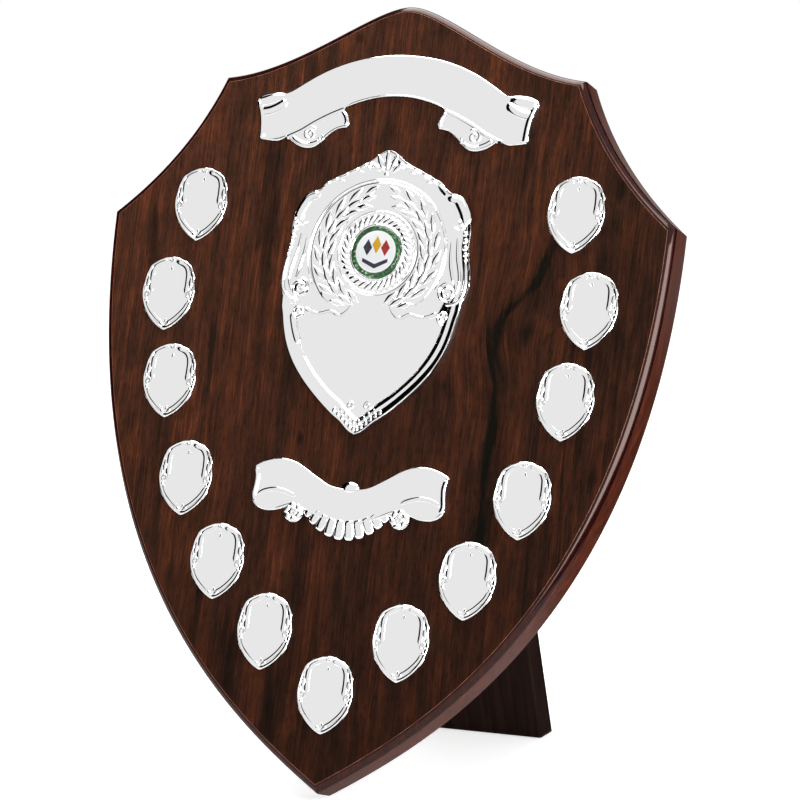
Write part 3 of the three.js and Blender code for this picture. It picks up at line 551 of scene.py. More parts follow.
# small record shields: one half outline from the tip up, in mm about each shield's own tip
recordShield = {
    "half": ((0, 0), (3.9, 2.0), (8.0, 5.4), (11.2, 9.5), (13.4, 14.0), (14.3, 18.5), (14.2, 21.5), (13.6, 24.2),
             (13.5, 25.6), (12.9, 28.4), (12.2, 29.6), (11.6, 31.6), (10.2, 33.2), (8.9, 33.9), (7.2, 35.1),
             (5.4, 35.7), (3.6, 36.6), (1.8, 36.8), (0, 37.0)),
    "corners": (0, 8, 10, 13, 15),
    # inset from the line before and height, over the rolled edge
    "steps": ((0, 0.1), (0, 1.15), (0.1, 1.5), (0.16, 1.7), (0.2, 1.76), (0.22, 1.7), (0.3, 1.56), (0.3, 1.45),
              (0.35, 1.4)),
    "level": 1.4,
    "places": ((97.8, 275.4), (109.3, 230.2), (102.6, 187.1), (87.0, 140.0), (64.6, 101.0), (35.1, 69.6)),
    "lowest": (0, 42.4),
    "tipBelowPlace": 19.39,
    "pinHeights": (31.0, 5.0),
    # pressed border of the right side: lines as points, half width and height
    "lines": (
        (((2.4, 34.7), (5.2, 33.8), (8.0, 32.2), (9.5, 29.4), (9.8, 25.4), (9.7, 21.6), (9.4, 18.8)), 1.3, 0.19),
        (((11.4, 14.4), (9.8, 11.3), (7.3, 8.3), (4.1, 5.4), (0.9, 3.5)), 1.0, 0.14),
        (((12.5, 13.2), (10.6, 9.9), (7.7, 7.1), (4.4, 4.5), (1.2, 2.4)), 0.7, 0.1),
    ),
    # middle x, middle y, length, width, height and direction
    "leaves": (
        (11.7, 24.0, 6.4, 2.4, 0.3, 93), (12.7, 27.4, 4.4, 1.6, 0.26, 104), (11.0, 30.6, 4.6, 1.8, 0.22, 122),
        (7.6, 34.1, 4.4, 1.5, 0.16, 155), (4.0, 35.4, 3.8, 1.3, 0.14, 166), (12.9, 21.0, 3.6, 1.3, 0.24, 84),
        (1.6, 3.2, 3.2, 1.6, 0.3, 34),
    ),
    "curl": {"x": 11.6, "y": 17.7, "outer": 1.8, "inner": 0.4, "start": 60, "sweep": 430, "steps": 22,
             "thick": 0.5, "squash": 0.6},
    "bead": {"x": 11.8, "y": 14.9, "radius": 0.8, "height": 0.35},
    # shell at the head: direction and length of each lobe, and where they stand
    "lobes": ((90, 2.6), (62, 2.2), (118, 2.2)), "lobeRoot": 33.6, "lobeReach": 1.6,
}


def recordShieldMesh(bm):
    shape = recordShield
    level = shape["level"]
    addPlate(bm, smoothOutline(shape["half"], 4, shape["corners"]), shape["steps"])
    for s in (-1, 1):
        for points, halfWidth, height in shape["lines"]:
            addRidge(bm, s, points, level, halfWidth, height)
        for x, y, long, wide, height, turn in shape["leaves"]:
            addLeaf(bm, s * x, y, level, long, wide, height, sideTurn(s, turn), point=0.6)
        addCurl(bm, s, z=level, **shape["curl"])
        bead = shape["bead"]
        addBead(bm, s * bead["x"], bead["y"], level, bead["radius"], bead["height"])
    for turn, long in shape["lobes"]:
        direction = math.radians(turn)
        x = shape["lobeReach"] * math.cos(direction)
        y = shape["lobeRoot"] + shape["lobeReach"] * math.sin(direction)
        addLeaf(bm, x, y, level, long, width=1.1, height=0.2, turn=direction, point=0.3)


def recordShieldPlaces():
    pairs = [(side * x, y) for x, y in recordShield["places"] for side in (-1, 1)]
    return pairs + [recordShield["lowest"]]


# pin: a pointed shank, and a flat head struck with a shallow dish, as shares of its radius and heights in mm
pinShape = {
    "radius": 0.95, "shank": 0.5, "seat": 1.05, "length": 9.0, "point": 1.2,
    "head": ((1, 0), (1, 0.4), (0.95, 0.5), (0.84, 0.5), (0.5, 0.4), (0, 0.36)),
}


def pinMesh(bm, x, y):
    shape = pinShape
    foot = shape["seat"] - shape["length"]
    profile = [(0, foot - shape["point"]), (shape["shank"], foot), (shape["shank"], shape["seat"])]
    profile += [(shape["radius"] * share, shape["seat"] + height) for share, height in shape["head"]]
    addLathe(bm, profile, 16)
    bmesh.ops.translate(bm, verts=bm.verts, vec=(x, y, 0))


pressed = bmesh.new()
recordShieldMesh(pressed)
for number, (x, y) in enumerate(recordShieldPlaces(), 1):
    tipY = y - recordShield["tipBelowPlace"]
    finishPiece(f"recordShield{number:02d}", pressed.copy(), boardPlace @ Matrix.Translation((x, tipY, 0)), [nickel],
                "shield", [f"side_shield_{number:02d}"])
    for above, word in zip(recordShield["pinHeights"], ("upper", "lower")):
        bm = bmesh.new()
        pinMesh(bm, x, tipY + above)
        finishPiece(f"pin{number:02d}{word}", bm, boardPlace, [nickel], "shield",
                    [f"shield_pin_{number:02d}_{word}"])
pressed.free()
print("record shields and pins made")


# large centre shield, in mm about its own tip
centreShield = {
    "tipY": 164.3,
    "half": ((0, 0), (4.0, 1.9), (8.6, 6.0), (14.1, 9.9), (22.2, 16.8), (30.3, 24.9), (36.8, 33.3), (41.3, 41.8),
             (43.9, 49.7), (45.4, 56.6), (46.4, 60.7), (46.9, 65.6), (47.7, 67.4), (48.7, 72.0), (48.9, 75.5),
             (48.4, 81.6), (47.4, 86.4), (46.4, 92.4), (46.4, 97.0), (46.3, 102.4), (44.9, 107.3), (42.3, 113.3),
             (39.8, 117.3), (33.8, 119.3), (28.6, 124.0), (24.2, 126.3), (18.1, 129.3), (13.1, 131.7), (8.6, 134.2),
             (5.6, 136.6), (2.6, 138.6), (0, 139.2)),
    "corners": (0, 9, 11, 23, 28),
    "middle": (0, 75.2),
    # inset from the edge, height, share of the smooth outline
    "lines": ((0, 0.1, 0), (0, 1.7, 0), (0.12, 2.8, 0), (0.3, 3.5, 0), (0.6, 3.95, 0), (0.95, 4.05, 0),
              (1.15, 4.0, 0), (1.55, 3.82, 0), (2.1, 3.63, 0.05), (2.7, 3.46, 0.1), (3.3, 3.4, 0.2),
              (4.2, 3.42, 0.3), (5.0, 3.4, 0.42), (5.4, 3.33, 0.5), (5.9, 3.18, 0.62), (6.4, 3.03, 0.74),
              (6.9, 2.87, 0.86), (7.1, 2.6, 0.9), (7.25, 2.32, 0.93), (7.5, 2.2, 1), (14.0, 2.2, 1)),
    # above the waist the rolled rim gives way to a plain sunk border
    "waist": 62, "waistBlend": 14,
    "border": {"edge": 1.5, "rise": 1.7, "riseOver": 1.2, "sink": 0.45, "sinkOver": 2.0},
    # near the tip the rim falls away inwards from its crest, between these insets
    "foot": 42, "footBlend": 24, "footInsets": (1.3, 5), "footFall": 0.27, "crest": (0.95, 4.05),
    # pressed detail of the right side. Volutes: x, y, z, outer and inner radius; sweep, steps and thickness; where
    # each starts on the right and on the left; z, radius and height of its boss
    "volutes": (
        ((38.4, 70.4, 2.9, 4.7, 0.9), (610, 40, 0.75), {1: 100, -1: 100}, (2.6, 3.9, 1.0)),
        ((37.8, 58.8, 2.7, 3.2, 0.7), (-520, 32, 0.62), {1: 260, -1: -60}, (2.4, 2.6, 0.9)),
    ),
    # strands over the volute and the fluted scroll: points, z, thickness at the ends, swelling, sides
    "strands": (
        (((46.2, 85.4), (46.8, 82), (47.4, 75), (46.4, 69), (43.0, 65.4), (38.6, 64.6)), 3.0, 0.5, 0.75, 10),
        (((40.6, 97), (41.6, 88), (43.6, 80), (44.0, 73.5), (42.4, 69)), 2.8, 0.4, 0.5, 8),
        (((37.6, 95), (38.2, 86), (39.8, 79), (41.0, 75)), 2.6, 0.3, 0.6, 8),
    ),
    "berries": ((44.4, 99.2, 1.5), (44.9, 95.7, 1.55), (45.2, 92.3, 1.5), (45.7, 89.2, 1.35), (46.2, 86.6, 1.1),
                (42.7, 101.8, 1.2)),
    "waistLeaves": (
        (41.4, 104.4, 5.0, 1.9, 116), (44.3, 103.4, 4.4, 1.7, 70), (39.4, 101.8, 4.0, 1.5, 150),
        (44.6, 61.0, 4.4, 1.6, 80), (42.4, 58.6, 3.6, 1.4, 60), (41.6, 62.2, 3.2, 1.3, 20),
    ),
    # leafy top edge, from the apex outwards
    "topLeaves": (
        (30.2, 121.6, 5.2, 2.0, 142), (26.2, 123.8, 5.0, 2.0, 150), (21.4, 126.2, 6.0, 2.1, 154),
        (16.4, 128.8, 5.6, 2.1, 152), (11.8, 131.2, 5.0, 2.0, 150), (8.2, 132.2, 4.2, 1.8, 128),
        (13.6, 128.0, 3.6, 1.2, 176), (22.8, 123.6, 3.6, 1.2, 178),
    ),
    # raised edge of the plain ear; the short line beside the panel, on the left only; and the plain field's upper
    # line, from the small volute up to the band under the rope ring
    "earLine": ((44.2, 103.4), (42.6, 108.4), (40.4, 112.6), (38.2, 115.2), (33.2, 116.6)),
    "shortLine": ((40.2, 57.5), (39.4, 53.5), (37.6, 48.0), (35.4, 43.0)),
    "fieldLine": ((34.0, 60.2), (27.0, 58.2), (20.5, 59.6), (15.6, 57.6), (11.5, 60.4), (8.6, 65.6), (4.0, 67.6),
                  (0.2, 68.0)),
    # shell at the apex, and two rows of scales along the foot's edge as x, y, z
    "petals": ((0, 133.6, 10.4, 3.0, 90), (3.4, 132.8, 9.0, 2.9, 66), (-3.4, 132.8, 9.0, 2.9, 114),
               (5.8, 130.6, 7.0, 2.5, 42), (-5.8, 130.6, 7.0, 2.5, 138)),
    "scales": ((0.9, 3.0, 3.5), (3.0, 4.2, 3.5), (5.2, 6.1, 3.5), (7.4, 8.0, 3.5), (9.7, 9.7, 3.5),
               (12.0, 11.4, 3.5), (1.4, 6.3, 3.0), (3.9, 8.0, 3.0), (6.2, 10.0, 3.0), (8.6, 11.8, 3.0)),
    "scaleLean": 8,
    "topCurl": {"x": 8.6, "y": 130.6, "z": 3.1, "outer": 1.5, "inner": 0.4, "start": 200, "sweep": -430, "steps": 18,
                "thick": 0.45},
    "footCurl": {"x": 4.6, "y": 14.6, "z": 2.3, "outer": 1.9, "inner": 0.5, "start": 90, "sweep": 420, "steps": 18,
                 "thick": 0.6, "squash": 0.6},
}
# round the disc: all about a middle this far above the tip
medallion = {
    "y": 88.9,
    # a low dish with an edge line, as insets and rises from its ground, which sinks under the plain field below
    "groundRadius": 34.4, "ground": 1.2,
    "dish": ((0, 1.65), (0.5, 0.15), (2.0, 0.0), (9.0, 0.0), (1.6, 0.12), (0.3, -0.1), (1.4, 0.0)),
    "sinkBelow": 21, "sinkOver": 9, "sink": 1.4, "sinkRadius": 34.6, "sinkAbove": 1.1,
    # rings: radius, z, thickness, sides, squash, first and last angle, steps
    "rings": ((35.4, 2.85, 0.7, 10, 0.8, -28, 208, 72), (19.9, 3.0, 0.6, 10, 0.8, 0, 360, 72),
              (13.35, 3.1, 0.45, 8, 1.0, 0, 360, 64)),
    "rope": 16.3, "strands": 34, "ropeSlant": math.radians(42),
    # rows of wreath leaves: radius, spread from the branch, length, width
    "wreathRows": ((23.9, -20, 11.0, 3.3), (27.3, 0, 11.6, 3.3), (30.9, 20, 10.6, 3.1)),
    "seat": 3.0, "stagger": 0.33, "endLeaf": 0.8,
    "wreathFrom": 246, "wreathTo": 96, "stations": 9,
}


def shareOver(length, span):
    # how far along the span this length reaches, held between 0 and 1
    return min(max(length / span, 0), 1)


def centreHeight(spot, inset, height):
    shape, border = centreShield, centreShield["border"]
    if not inset:
        return height
    upper = shareOver(spot.y - shape["waist"], shape["waistBlend"])
    foot = shareOver(shape["foot"] - spot.y, shape["footBlend"])
    if shape["footInsets"][0] < inset < shape["footInsets"][1]:
        crestInset, crest = shape["crest"]
        height += (crest - shape["footFall"] * (inset - crestInset) - height) * foot
    plain = border["edge"] + border["rise"] * shareOver(inset, border["riseOver"])
    plain -= border["sink"] * shareOver(inset - border["riseOver"], border["sinkOver"])
    return height * (1 - upper) + plain * upper


def makeCentreShield():
    shape = centreShield
    bm = bmesh.new()
    outline = smoothOutline(shape["half"], 5, shape["corners"])
    addRadialShell(bm, outline, shape["middle"], shape["lines"], centreHeight)
    addMedallion(bm)
    for s in (-1, 1):
        addWreathBranch(bm, s)
        addSideScrolls(bm, s)
    for x, y, long, wide, turn in shape["petals"]:
        addLeaf(bm, x, y, 2.75, long, wide, height=0.75, turn=math.radians(turn), point=0.35, lean=0.25)
    addBead(bm, 0, 127.4, 2.75, radius=1.2, height=0.5)
    for s in (-1, 1):
        for x, y, z in shape["scales"]:
            direction = math.radians(90 + s * shape["scaleLean"])
            addLeaf(bm, s * x, y, z, length=3.6, width=2.1, height=0.45, turn=direction, point=0.3)
        addCurl(bm, s, **shape["footCurl"])
        addRidge(bm, s, shape["fieldLine"], level=2.2, halfWidth=1.3, height=0.3, ends=0.7)
    finishPiece("centreShield", bm, boardPlace @ Matrix.Translation((0, shape["tipY"], 0)), [nickel],
                "shield", ["centre_shield"])


def addMedallion(bm):
    shape = medallion
    my = shape["y"]
    made = bmesh.ops.create_circle(bm, cap_ends=True, radius=shape["groundRadius"], segments=96)
    bmesh.ops.translate(bm, verts=made["verts"], vec=(0, my, shape["ground"]))
    dish = made["verts"][0].link_faces[0]
    rim = list(dish.verts)
    for inset, rise in shape["dish"]:
        stepOut(bm, dish, -inset, -rise)
    bm.faces.new(rim)
    for vert in bm.verts:
        if vert.co.z > shape["sinkAbove"] and (vert.co.xy - Vector((0, my))).length < shape["sinkRadius"]:
            below = shareOver(my - shape["sinkBelow"] - vert.co.y, shape["sinkOver"])
            vert.co.z -= shape["sink"] * below * below * (3 - 2 * below)
    for radius, z, thick, sides, squash, first, last, steps in shape["rings"]:
        addTube(bm, arcPath(0, my, z, radius, first, last, steps), thick, sides, squash=squash)
    for i in range(shape["strands"]):
        turn = math.tau * i / shape["strands"]
        x = shape["rope"] * math.cos(turn)
        y = my + shape["rope"] * math.sin(turn)
        direction = turn - math.pi / 2 + shape["ropeSlant"]
        addLeaf(bm, x, y, shape["seat"], length=6.4, width=2.7, height=0.65, turn=direction, point=0.25)


def addWreathBranch(bm, s):
    shape = medallion
    first, last, stations = shape["wreathFrom"], shape["wreathTo"], shape["stations"]
    for row, (radius, spread, long, wide) in enumerate(shape["wreathRows"]):
        for k in range(stations):
            angle = math.radians(first + (last - first) * (k + shape["stagger"] * row) / stations)
            x = -s * radius * math.cos(angle)
            y = shape["y"] + radius * math.sin(angle)
            tangent = angle - math.pi / 2 + math.radians(spread)
            direction = tangent if s < 0 else math.pi - tangent
            fade = shape["endLeaf"] if k in (0, stations - 1) else 1
            addLeaf(bm, x, y, shape["seat"], long * fade, wide, height=0.55, turn=direction, point=0.75, lean=0.25)


def addSideScrolls(bm, s):
    shape = centreShield
    for (x, y, *rest), windings, starts, boss in shape["volutes"]:
        addCurl(bm, s, x, y, *rest, starts[s], *windings)
        addBead(bm, s * x, y, *boss)
    for points, z, thin, swell, sides in shape["strands"]:
        path = curvePath(s, points, z)
        addTube(bm, path, [thin + swell * share for share in bulge(path)], sides)
    for x, y, radius in shape["berries"]:
        addBead(bm, s * x, y, 2.6, radius, height=1.15)
    addSpray(bm, s, shape["waistLeaves"], z=2.6, height=0.9, point=0.45)
    addRidge(bm, s, shape["earLine"], level=2.75, halfWidth=2.3, height=0.5)
    if s < 0:
        addRidge(bm, s, shape["shortLine"], level=3.4, halfWidth=1.3, height=0.24)
    addSpray(bm, s, shape["topLeaves"], z=2.5, height=0.95, point=0.4)
    addCurl(bm, s, **shape["topCurl"])


makeCentreShield()
print("centre shield made")


# printed disc under a clear resin dome, in mm about its own middle
discShape = {
    "radius": 12.5, "rim": 10.3, "thickness": 0.8, "seat": 3.4, "roundness": 96,
    # plain geometry only: three upright lozenges over a chevron band. Middle x, middle y, width, height, material
    # number and how far the ink stands above the foil; it starts a little below its surface
    "lozenges": ((-4.4, 2.0, 4.6, 8.0, 4, 0.04), (0.2, 3.4, 4.6, 8.6, 3, 0.05), (4.8, 2.0, 4.6, 8.0, 2, 0.04)),
    "chevron": ((-6.6, -3.2), (0, -6.0), (6.6, -3.2), (6.6, -5.0), (0, -8.2), (-6.6, -5.0)),
    "chevronFinish": (4, 0.03),
    "inkRoot": 0.1,
    # the dome's height over its straight edge, how far its foot stands in, the gap under it, rings and turns
    "dome": 1.3, "domeEdge": 0.25, "domeInset": 0.1, "domeGap": 0.1, "domeRings": 8, "domeTurns": 72,
}
discPlace = boardPlace @ Matrix.Translation((0, centreShield["tipY"] + medallion["y"], discShape["seat"]))

# plastic foil printed with glitter ink: coarse flakes, drawn 0.8 mm across so that they show
glitter, tree, shader = newMaterial("glitterPrintedFoil", Roughness=0.3, Metallic=0.25)
flakes = addNode(tree, "ShaderNodeTexVoronoi", {"Vector": boardSpace(tree, 0.8, 0.8, 0.8), "Scale": 1.0})
flakeTone = addNode(tree, "ShaderNodeSeparateColor", {"Color": flakes.outputs["Color"]})
glitterColour = colourRamp(tree, flakeTone.outputs["Red"], [
    (0.0, "04240a"), (0.4, "0a4612"), (0.7, "16681d"), (0.9, "318a38"), (0.98, "b0dcae")])
tree.links.new(glitterColour, shader.inputs["Base Color"])


def printInk(name, text, variation, gloss):
    # screen-printed ink on foil, laid slightly unevenly: the pale field keeps a gloss, the motifs are nearly dull
    material, tree, shader = newMaterial(name, Roughness=0.35, Specular_IOR_Level=gloss)
    mottle(tree, shader, boardSpace(tree, 3, 3, 3), 1.0, [(0.3, text), (0.7, variation)])
    return material


paleInk = printInk("paleFieldInk", "f8fdfd", "ffffff", 0.7)
redInk = printInk("redMotifInk", "9c1614", "b82420", 0.08)
yellowInk = printInk("yellowMotifInk", "d8a204", "eaba18", 0.08)
violetInk = printInk("darkVioletMotifInk", "211c2c", "332c48", 0.08)

# cast polyurethane resin, poured and self-levelled: a clear lens with a wet rim
resin, tree, shader = newMaterial("clearDomedResin")
clump = addNode(tree, "ShaderNodeTexNoise", {"Vector": boardSpace(tree, 6, 6, 6), "Scale": 1.0, "Detail": 0.0})
wave = addNode(tree, "ShaderNodeBump", {"Height": clump.outputs["Fac"], "Strength": 0.03, "Distance": 0.0002})
clear = addNode(tree, "ShaderNodeBsdfTransparent")
wet = addNode(tree, "ShaderNodeBsdfGlossy", {"Roughness": 0.04, "Normal": wave.outputs["Normal"]})
bend = addNode(tree, "ShaderNodeFresnel", {"IOR": 1.3, "Normal": wave.outputs["Normal"]})
lens = addNode(tree, "ShaderNodeMixShader", {
    "Fac": bend.outputs["Fac"], 1: clear.outputs["BSDF"], 2: wet.outputs["BSDF"]})
tree.links.new(lens.outputs["Shader"], tree.nodes["Material Output"].inputs["Surface"])
tree.nodes.remove(shader)


def addMotif(bm, points, materialIndex, lift):
    heights = (discShape["thickness"] - discShape["inkRoot"], discShape["thickness"] + lift)
    addLoft(bm, [[Vector((x, y, height)) for x, y in points] for height in heights], materialIndex)


def makeDisc():
    shape = discShape
    radius, thickness = shape["radius"], shape["thickness"]
    bm = bmesh.new()
    bmesh.ops.create_cone(bm, cap_ends=True, segments=shape["roundness"], radius1=radius, radius2=radius,
                          depth=thickness)
    bmesh.ops.translate(bm, verts=bm.verts, vec=(0, 0, thickness / 2))
    top = max(bm.faces, key=lambda f: f.calc_center_median().z)
    stepOut(bm, top, shape["rim"] - radius, 0)
    top.material_index = 1
    for x, y, wide, tall, materialIndex, lift in shape["lozenges"]:
        corners = [(x, y - tall / 2), (x + wide / 2, y), (x, y + tall / 2), (x - wide / 2, y)]
        addMotif(bm, corners, materialIndex, lift)
    addMotif(bm, shape["chevron"], *shape["chevronFinish"])
    bmesh.ops.recalc_face_normals(bm, faces=bm.faces)
    finishPiece("printedDisc", bm, discPlace, [glitter, paleInk, redInk, yellowInk, violetInk], "shield",
                ["centre_disc"])

    bm = bmesh.new()
    rings = shape["domeRings"]
    turns = [math.radians(90 * i / rings) for i in range(rings + 1)]
    profile = [(0, 0), (radius - shape["domeInset"], 0)]
    profile += [(radius * math.cos(turn), shape["domeEdge"] + shape["dome"] * math.sin(turn)) for turn in turns]
    addLathe(bm, profile, shape["domeTurns"])
    lift = Matrix.Translation((0, 0, thickness + shape["domeGap"]))
    finishPiece("resinDome", bm, discPlace @ lift, [resin], "shield", ["disc_dome"])


makeDisc()
print("disc made")


# arched scroll, in mm on the board
archedScroll = {
    "half": ((0, 330.0), (10, 329.2), (20, 326.6), (26.6, 323.8), (24.6, 321.2), (23.4, 318.6), (22.9, 316.0),
             (24.2, 314.2), (26.2, 314.0), (29.2, 313.2), (33.2, 310.4), (36.3, 307.2), (40.3, 304.3), (44.3, 303.7),
             (48.4, 304.6), (52.4, 306.8), (55.4, 309.2), (57.5, 307.9), (60.5, 306.9), (65.5, 307.2), (69.6, 307.9),
             (70.4, 309.6), (70.4, 313.2), (70.9, 318.0), (72.2, 322.2), (73.6, 325.4), (73.9, 327.6), (71.8, 329.6),
             (67.6, 331.0), (62.5, 331.4), (57.5, 330.9), (50.4, 335.6), (40.4, 341.6), (30.2, 345.9), (20.2, 348.8),
             (10, 350.3), (0, 350.9)),
    "corners": (3, 7, 16, 20, 30),
    # pressed detail of the right side. Rolled ends: points, z, radii at the first point, between and at the last,
    # sides, squash, and whether the steep side faces outwards
    "lips": (
        (((73.0, 326.4), (71.0, 321.8), (69.9, 316.8), (69.4, 312.0), (69.2, 308.6)),
         1.5, (1.6, 2.5, 1.9), 16, 0.62, 1),
        (((27.2, 322.6), (25.4, 320.4), (24.4, 317.8), (24.4, 315.4)), 1.6, (0.9, 1.5, 1.1), 12, 0.8, -1),
    ),
    # the band turned over at the shoulder swells from thin, and is past its fullest where it ends
    "band": ((57.6, 329.0), (62, 328.6), (67, 327.6), (71.6, 326.4)),
    "bandThin": 0.4, "bandSwell": 2.1, "bandReach": 1.15, "bandTurn": 0.62,
    # lines: points, half width, height, share at the ends
    "ridges": (
        (((71.6, 321.6), (68.4, 321.8), (65.2, 322.6), (61.4, 324.4), (57.6, 327.0)), 2.4, 0.5, 0.3),
        (((26.6, 323.4), (34.0, 320.2), (41.6, 316.2), (48.0, 312.2), (55.2, 308.9)), 1.1, 0.22, 0.8),
        (((37.6, 307.4), (41.2, 305.9), (45.0, 305.8), (49.0, 307.2), (52.4, 309.4)), 1.0, 0.2, 0.3),
    ),
    # x, y, z, outer and inner radius, start, sweep, steps, thickness, sides, squash
    "curls": ((42.8, 310.8, 2.15, 3.6, 0.8, 130, -470, 30, 0.9, 10, 0.36),
              (37.4, 308.8, 2.15, 1.7, 0.6, 120, 260, 14, 0.65, 8, 0.4)),
}
# inset from the line before and height, over the rounded edge and its faint bead
scrollSteps = ((0, 0.1), (0, 1.5), (0.1, 1.95), (0.18, 2.25), (0.22, 2.38), (0.25, 2.4), (0.25, 2.34), (0.25, 2.3))
scrollLevel = 2.3


def makeArchedScroll():
    shape = archedScroll
    bm = bmesh.new()
    addPlate(bm, smoothOutline(shape["half"], 5, shape["corners"]), scrollSteps)
    for s in (-1, 1):
        for lip in shape["lips"]:
            addLip(bm, s, *lip)
        band = curvePath(s, shape["band"], 1.9)
        shares = [min(1, shape["bandReach"] * i / (len(band) - 1)) * shape["bandTurn"] for i in range(len(band))]
        radii = [shape["bandThin"] + shape["bandSwell"] * math.sin(math.pi * share) for share in shares]
        addTube(bm, band, radii, sides=18, squash=0.42, boxy=0.4)
        for points, halfWidth, height, ends in shape["ridges"]:
            addRidge(bm, s, points, scrollLevel, halfWidth, height, ends)
        for curl in shape["curls"]:
            addCurl(bm, s, *curl)
    finishPiece("archedScroll", bm, boardPlace, [nickel], "shield", ["arched_scroll"])


makeArchedScroll()

# winged scroll under the centre shield, in mm on the board
wingedScroll = {
    "half": ((0, 122.6), (6, 122.9), (12, 124.0), (18, 126.2), (22, 128.2), (26, 129.4), (30, 129.2), (33.4, 127.6),
             (37.4, 126.4), (42.4, 126.2), (46.4, 127.4), (49.3, 130.0), (50.0, 133.0), (49.5, 137.2), (49.0, 142.0),
             (49.5, 145.4), (50.3, 147.3), (47.4, 149.2), (42.4, 151.1), (36.3, 151.9), (30.2, 151.0), (25.2, 148.9),
             (20.2, 145.9), (15.1, 143.0), (10.1, 140.4), (5.0, 139.4), (0, 139.2)),
    "corners": (7,),
    "lip": (((49.6, 146.2), (48.6, 142.0), (48.9, 137.4), (49.3, 133.2), (48.2, 130.2)),
            1.5, (1.1, 2.2, 0.9), 16, 0.66),
    "line": ((27.4, 133.7), (32.0, 135.6), (37.4, 136.6), (42.6, 135.9), (47.0, 133.8)),
    # rosette: a low boss with six petals round a rolled heart
    "rosette": {"x": 27.4, "y": 126.3, "petals": 6, "firstPetal": 20, "reach": 3.3, "skew": 0.35},
    "heart": {"z": 2.75, "outer": 1.7, "inner": 0.3, "start": 90, "sweep": 480, "steps": 26, "thick": 0.6,
              "squash": 0.5},
    # fan: middle x, middle y, length, width and turn from straight down of each flute, from the middle outwards
    "flutes": ((2.5, 119.4, 9.6, 5.2, 4), (7.3, 120.3, 9.0, 5.0, 14), (11.8, 122.2, 8.4, 4.7, 25),
               (15.7, 124.7, 7.6, 4.4, 36), (18.9, 127.2, 6.4, 3.9, 48), (21.5, 129.4, 5.0, 3.1, 58)),
    "fluteSeat": 1.15, "fluteFall": -0.06,
    # how wide a flute is at each share of its length
    "fluteWidths": ((0, 0.55), (0.04, 0.85), (0.12, 0.96), (0.3, 1), (0.55, 1), (0.8, 0.98), (0.92, 0.85),
                    (0.98, 0.6), (1, 0.3)),
}


def addRosette(bm, s):
    shape = wingedScroll["rosette"]
    addBead(bm, s * shape["x"], shape["y"], 1.2, radius=5.0, height=1.5)
    for k in range(shape["petals"]):
        turn = 360 / shape["petals"] * k + shape["firstPetal"]
        x = s * (shape["x"] + shape["reach"] * math.cos(math.radians(turn)))
        y = shape["y"] + shape["reach"] * math.sin(math.radians(turn))
        direction = math.pi / 2 + sideTurn(s, turn) + s * shape["skew"]
        addLeaf(bm, x, y, 2.25, length=4.2, width=2.8, height=0.7, turn=direction, point=0.25)
    addCurl(bm, s, shape["x"], shape["y"], **wingedScroll["heart"])


def makeWingedScroll():
    shape = wingedScroll
    bm = bmesh.new()
    addPlate(bm, smoothOutline(shape["half"], 5, shape["corners"]), scrollSteps)
    # the knob over the fan
    addLeaf(bm, 0.3, 139.6, 1.5, length=9.6, width=6.2, height=1.2, turn=0, point=0.05)
    for s in (-1, 1):
        addLip(bm, s, *shape["lip"])
        addRidge(bm, s, shape["line"], scrollLevel, halfWidth=1.1, height=0.18)
        addRosette(bm, s)
        for x, y, long, wide, turn in shape["flutes"]:
            direction = math.radians(-90 + s * turn)
            step = Vector((math.cos(direction), math.sin(direction), shape["fluteFall"])) * long
            start = Vector((s * x, y, shape["fluteSeat"])) - step / 2
            path = [start + step * share for share, width in shape["fluteWidths"]]
            radii = [wide / 2 * width for share, width in shape["fluteWidths"]]
            addTube(bm, path, radii, sides=20, squash=0.5, boxy=0.6)
    finishPiece("wingedScroll", bm, boardPlace, [nickel], "shield", ["winged_scroll"])


makeWingedScroll()
print("scrolls made")


# leg, hinge, screws and tape keep their CAD shapes and take real finishes

# zinc-plated pressed steel hinge: dull silver with fine drawn lines
zinc, tree, shader = newMaterial("zincPlatedSteelHinge", Metallic=1.0, Roughness=0.35)
mottle(tree, shader, boardSpace(tree, 9, 0.35, 0.35), 2.0, [(0.3, "8d8a82"), (0.7, "b9b5aa")])

# acrylic foam tape, slit from a roll: chalky white with open pores
tape, tree, shader = newMaterial("acrylicFoamTape", Roughness=0.9)
mottle(tree, shader, boardSpace(tree, 0.4, 0.4, 0.4), 2.0, [(0.35, "c4c2bb"), (0.65, "e0ded8")])

for name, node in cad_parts.items():
    if name == "leg_panel":
        finish = legWood
    elif "tape" in name:
        finish = tape
    elif "hinge" in name or "screw" in name:
        finish = zinc
    else:
        continue
    for materialSlot in node.material_slots:
        materialSlot.material = finish
print("hidden hardware finished")


# studio: white world for the camera, mirrors and glass; a plain floor; soft lamps; dark flags round the object
studio = {
    # the white world's brightness for all but camera, mirrors and glass; how much the floor glows to the camera, and
    # how much more in mirrors; the floor's size and how far it lies under the part, in metres
    "worldLevel": 0.5, "floorLift": 0.6, "floorMirrorLift": 0.05, "floorSize": 14, "floorDrop": 0.0005,
    # place, aim, size, level, whether it lights the scene, whether it shows in mirrors
    "lamps": {
        "keyLamp": ((1.7, -0.8, 0.75), (0, 0, 0.19), (2.4, 0.7), 22, True, False),
        "fillLamp": ((-0.9, -1.9, 1.0), (0, 0, 0.19), (1.3, 1.3), 8, True, False),
        "topLamp": ((-0.52, -0.05, 1.75), (0, 0, 0.19), (1.35, 1.4), 27, True, False),
        "sideStrip": ((1.25, -1.35, 0.55), (0, 0, 0.19), (1.9, 1.1), 84, False, True),
        "overheadStrip": ((-0.085, 0, 1.6), (-0.085, 0, 0), (1.27, 1.8), 63, False, True),
    },
}

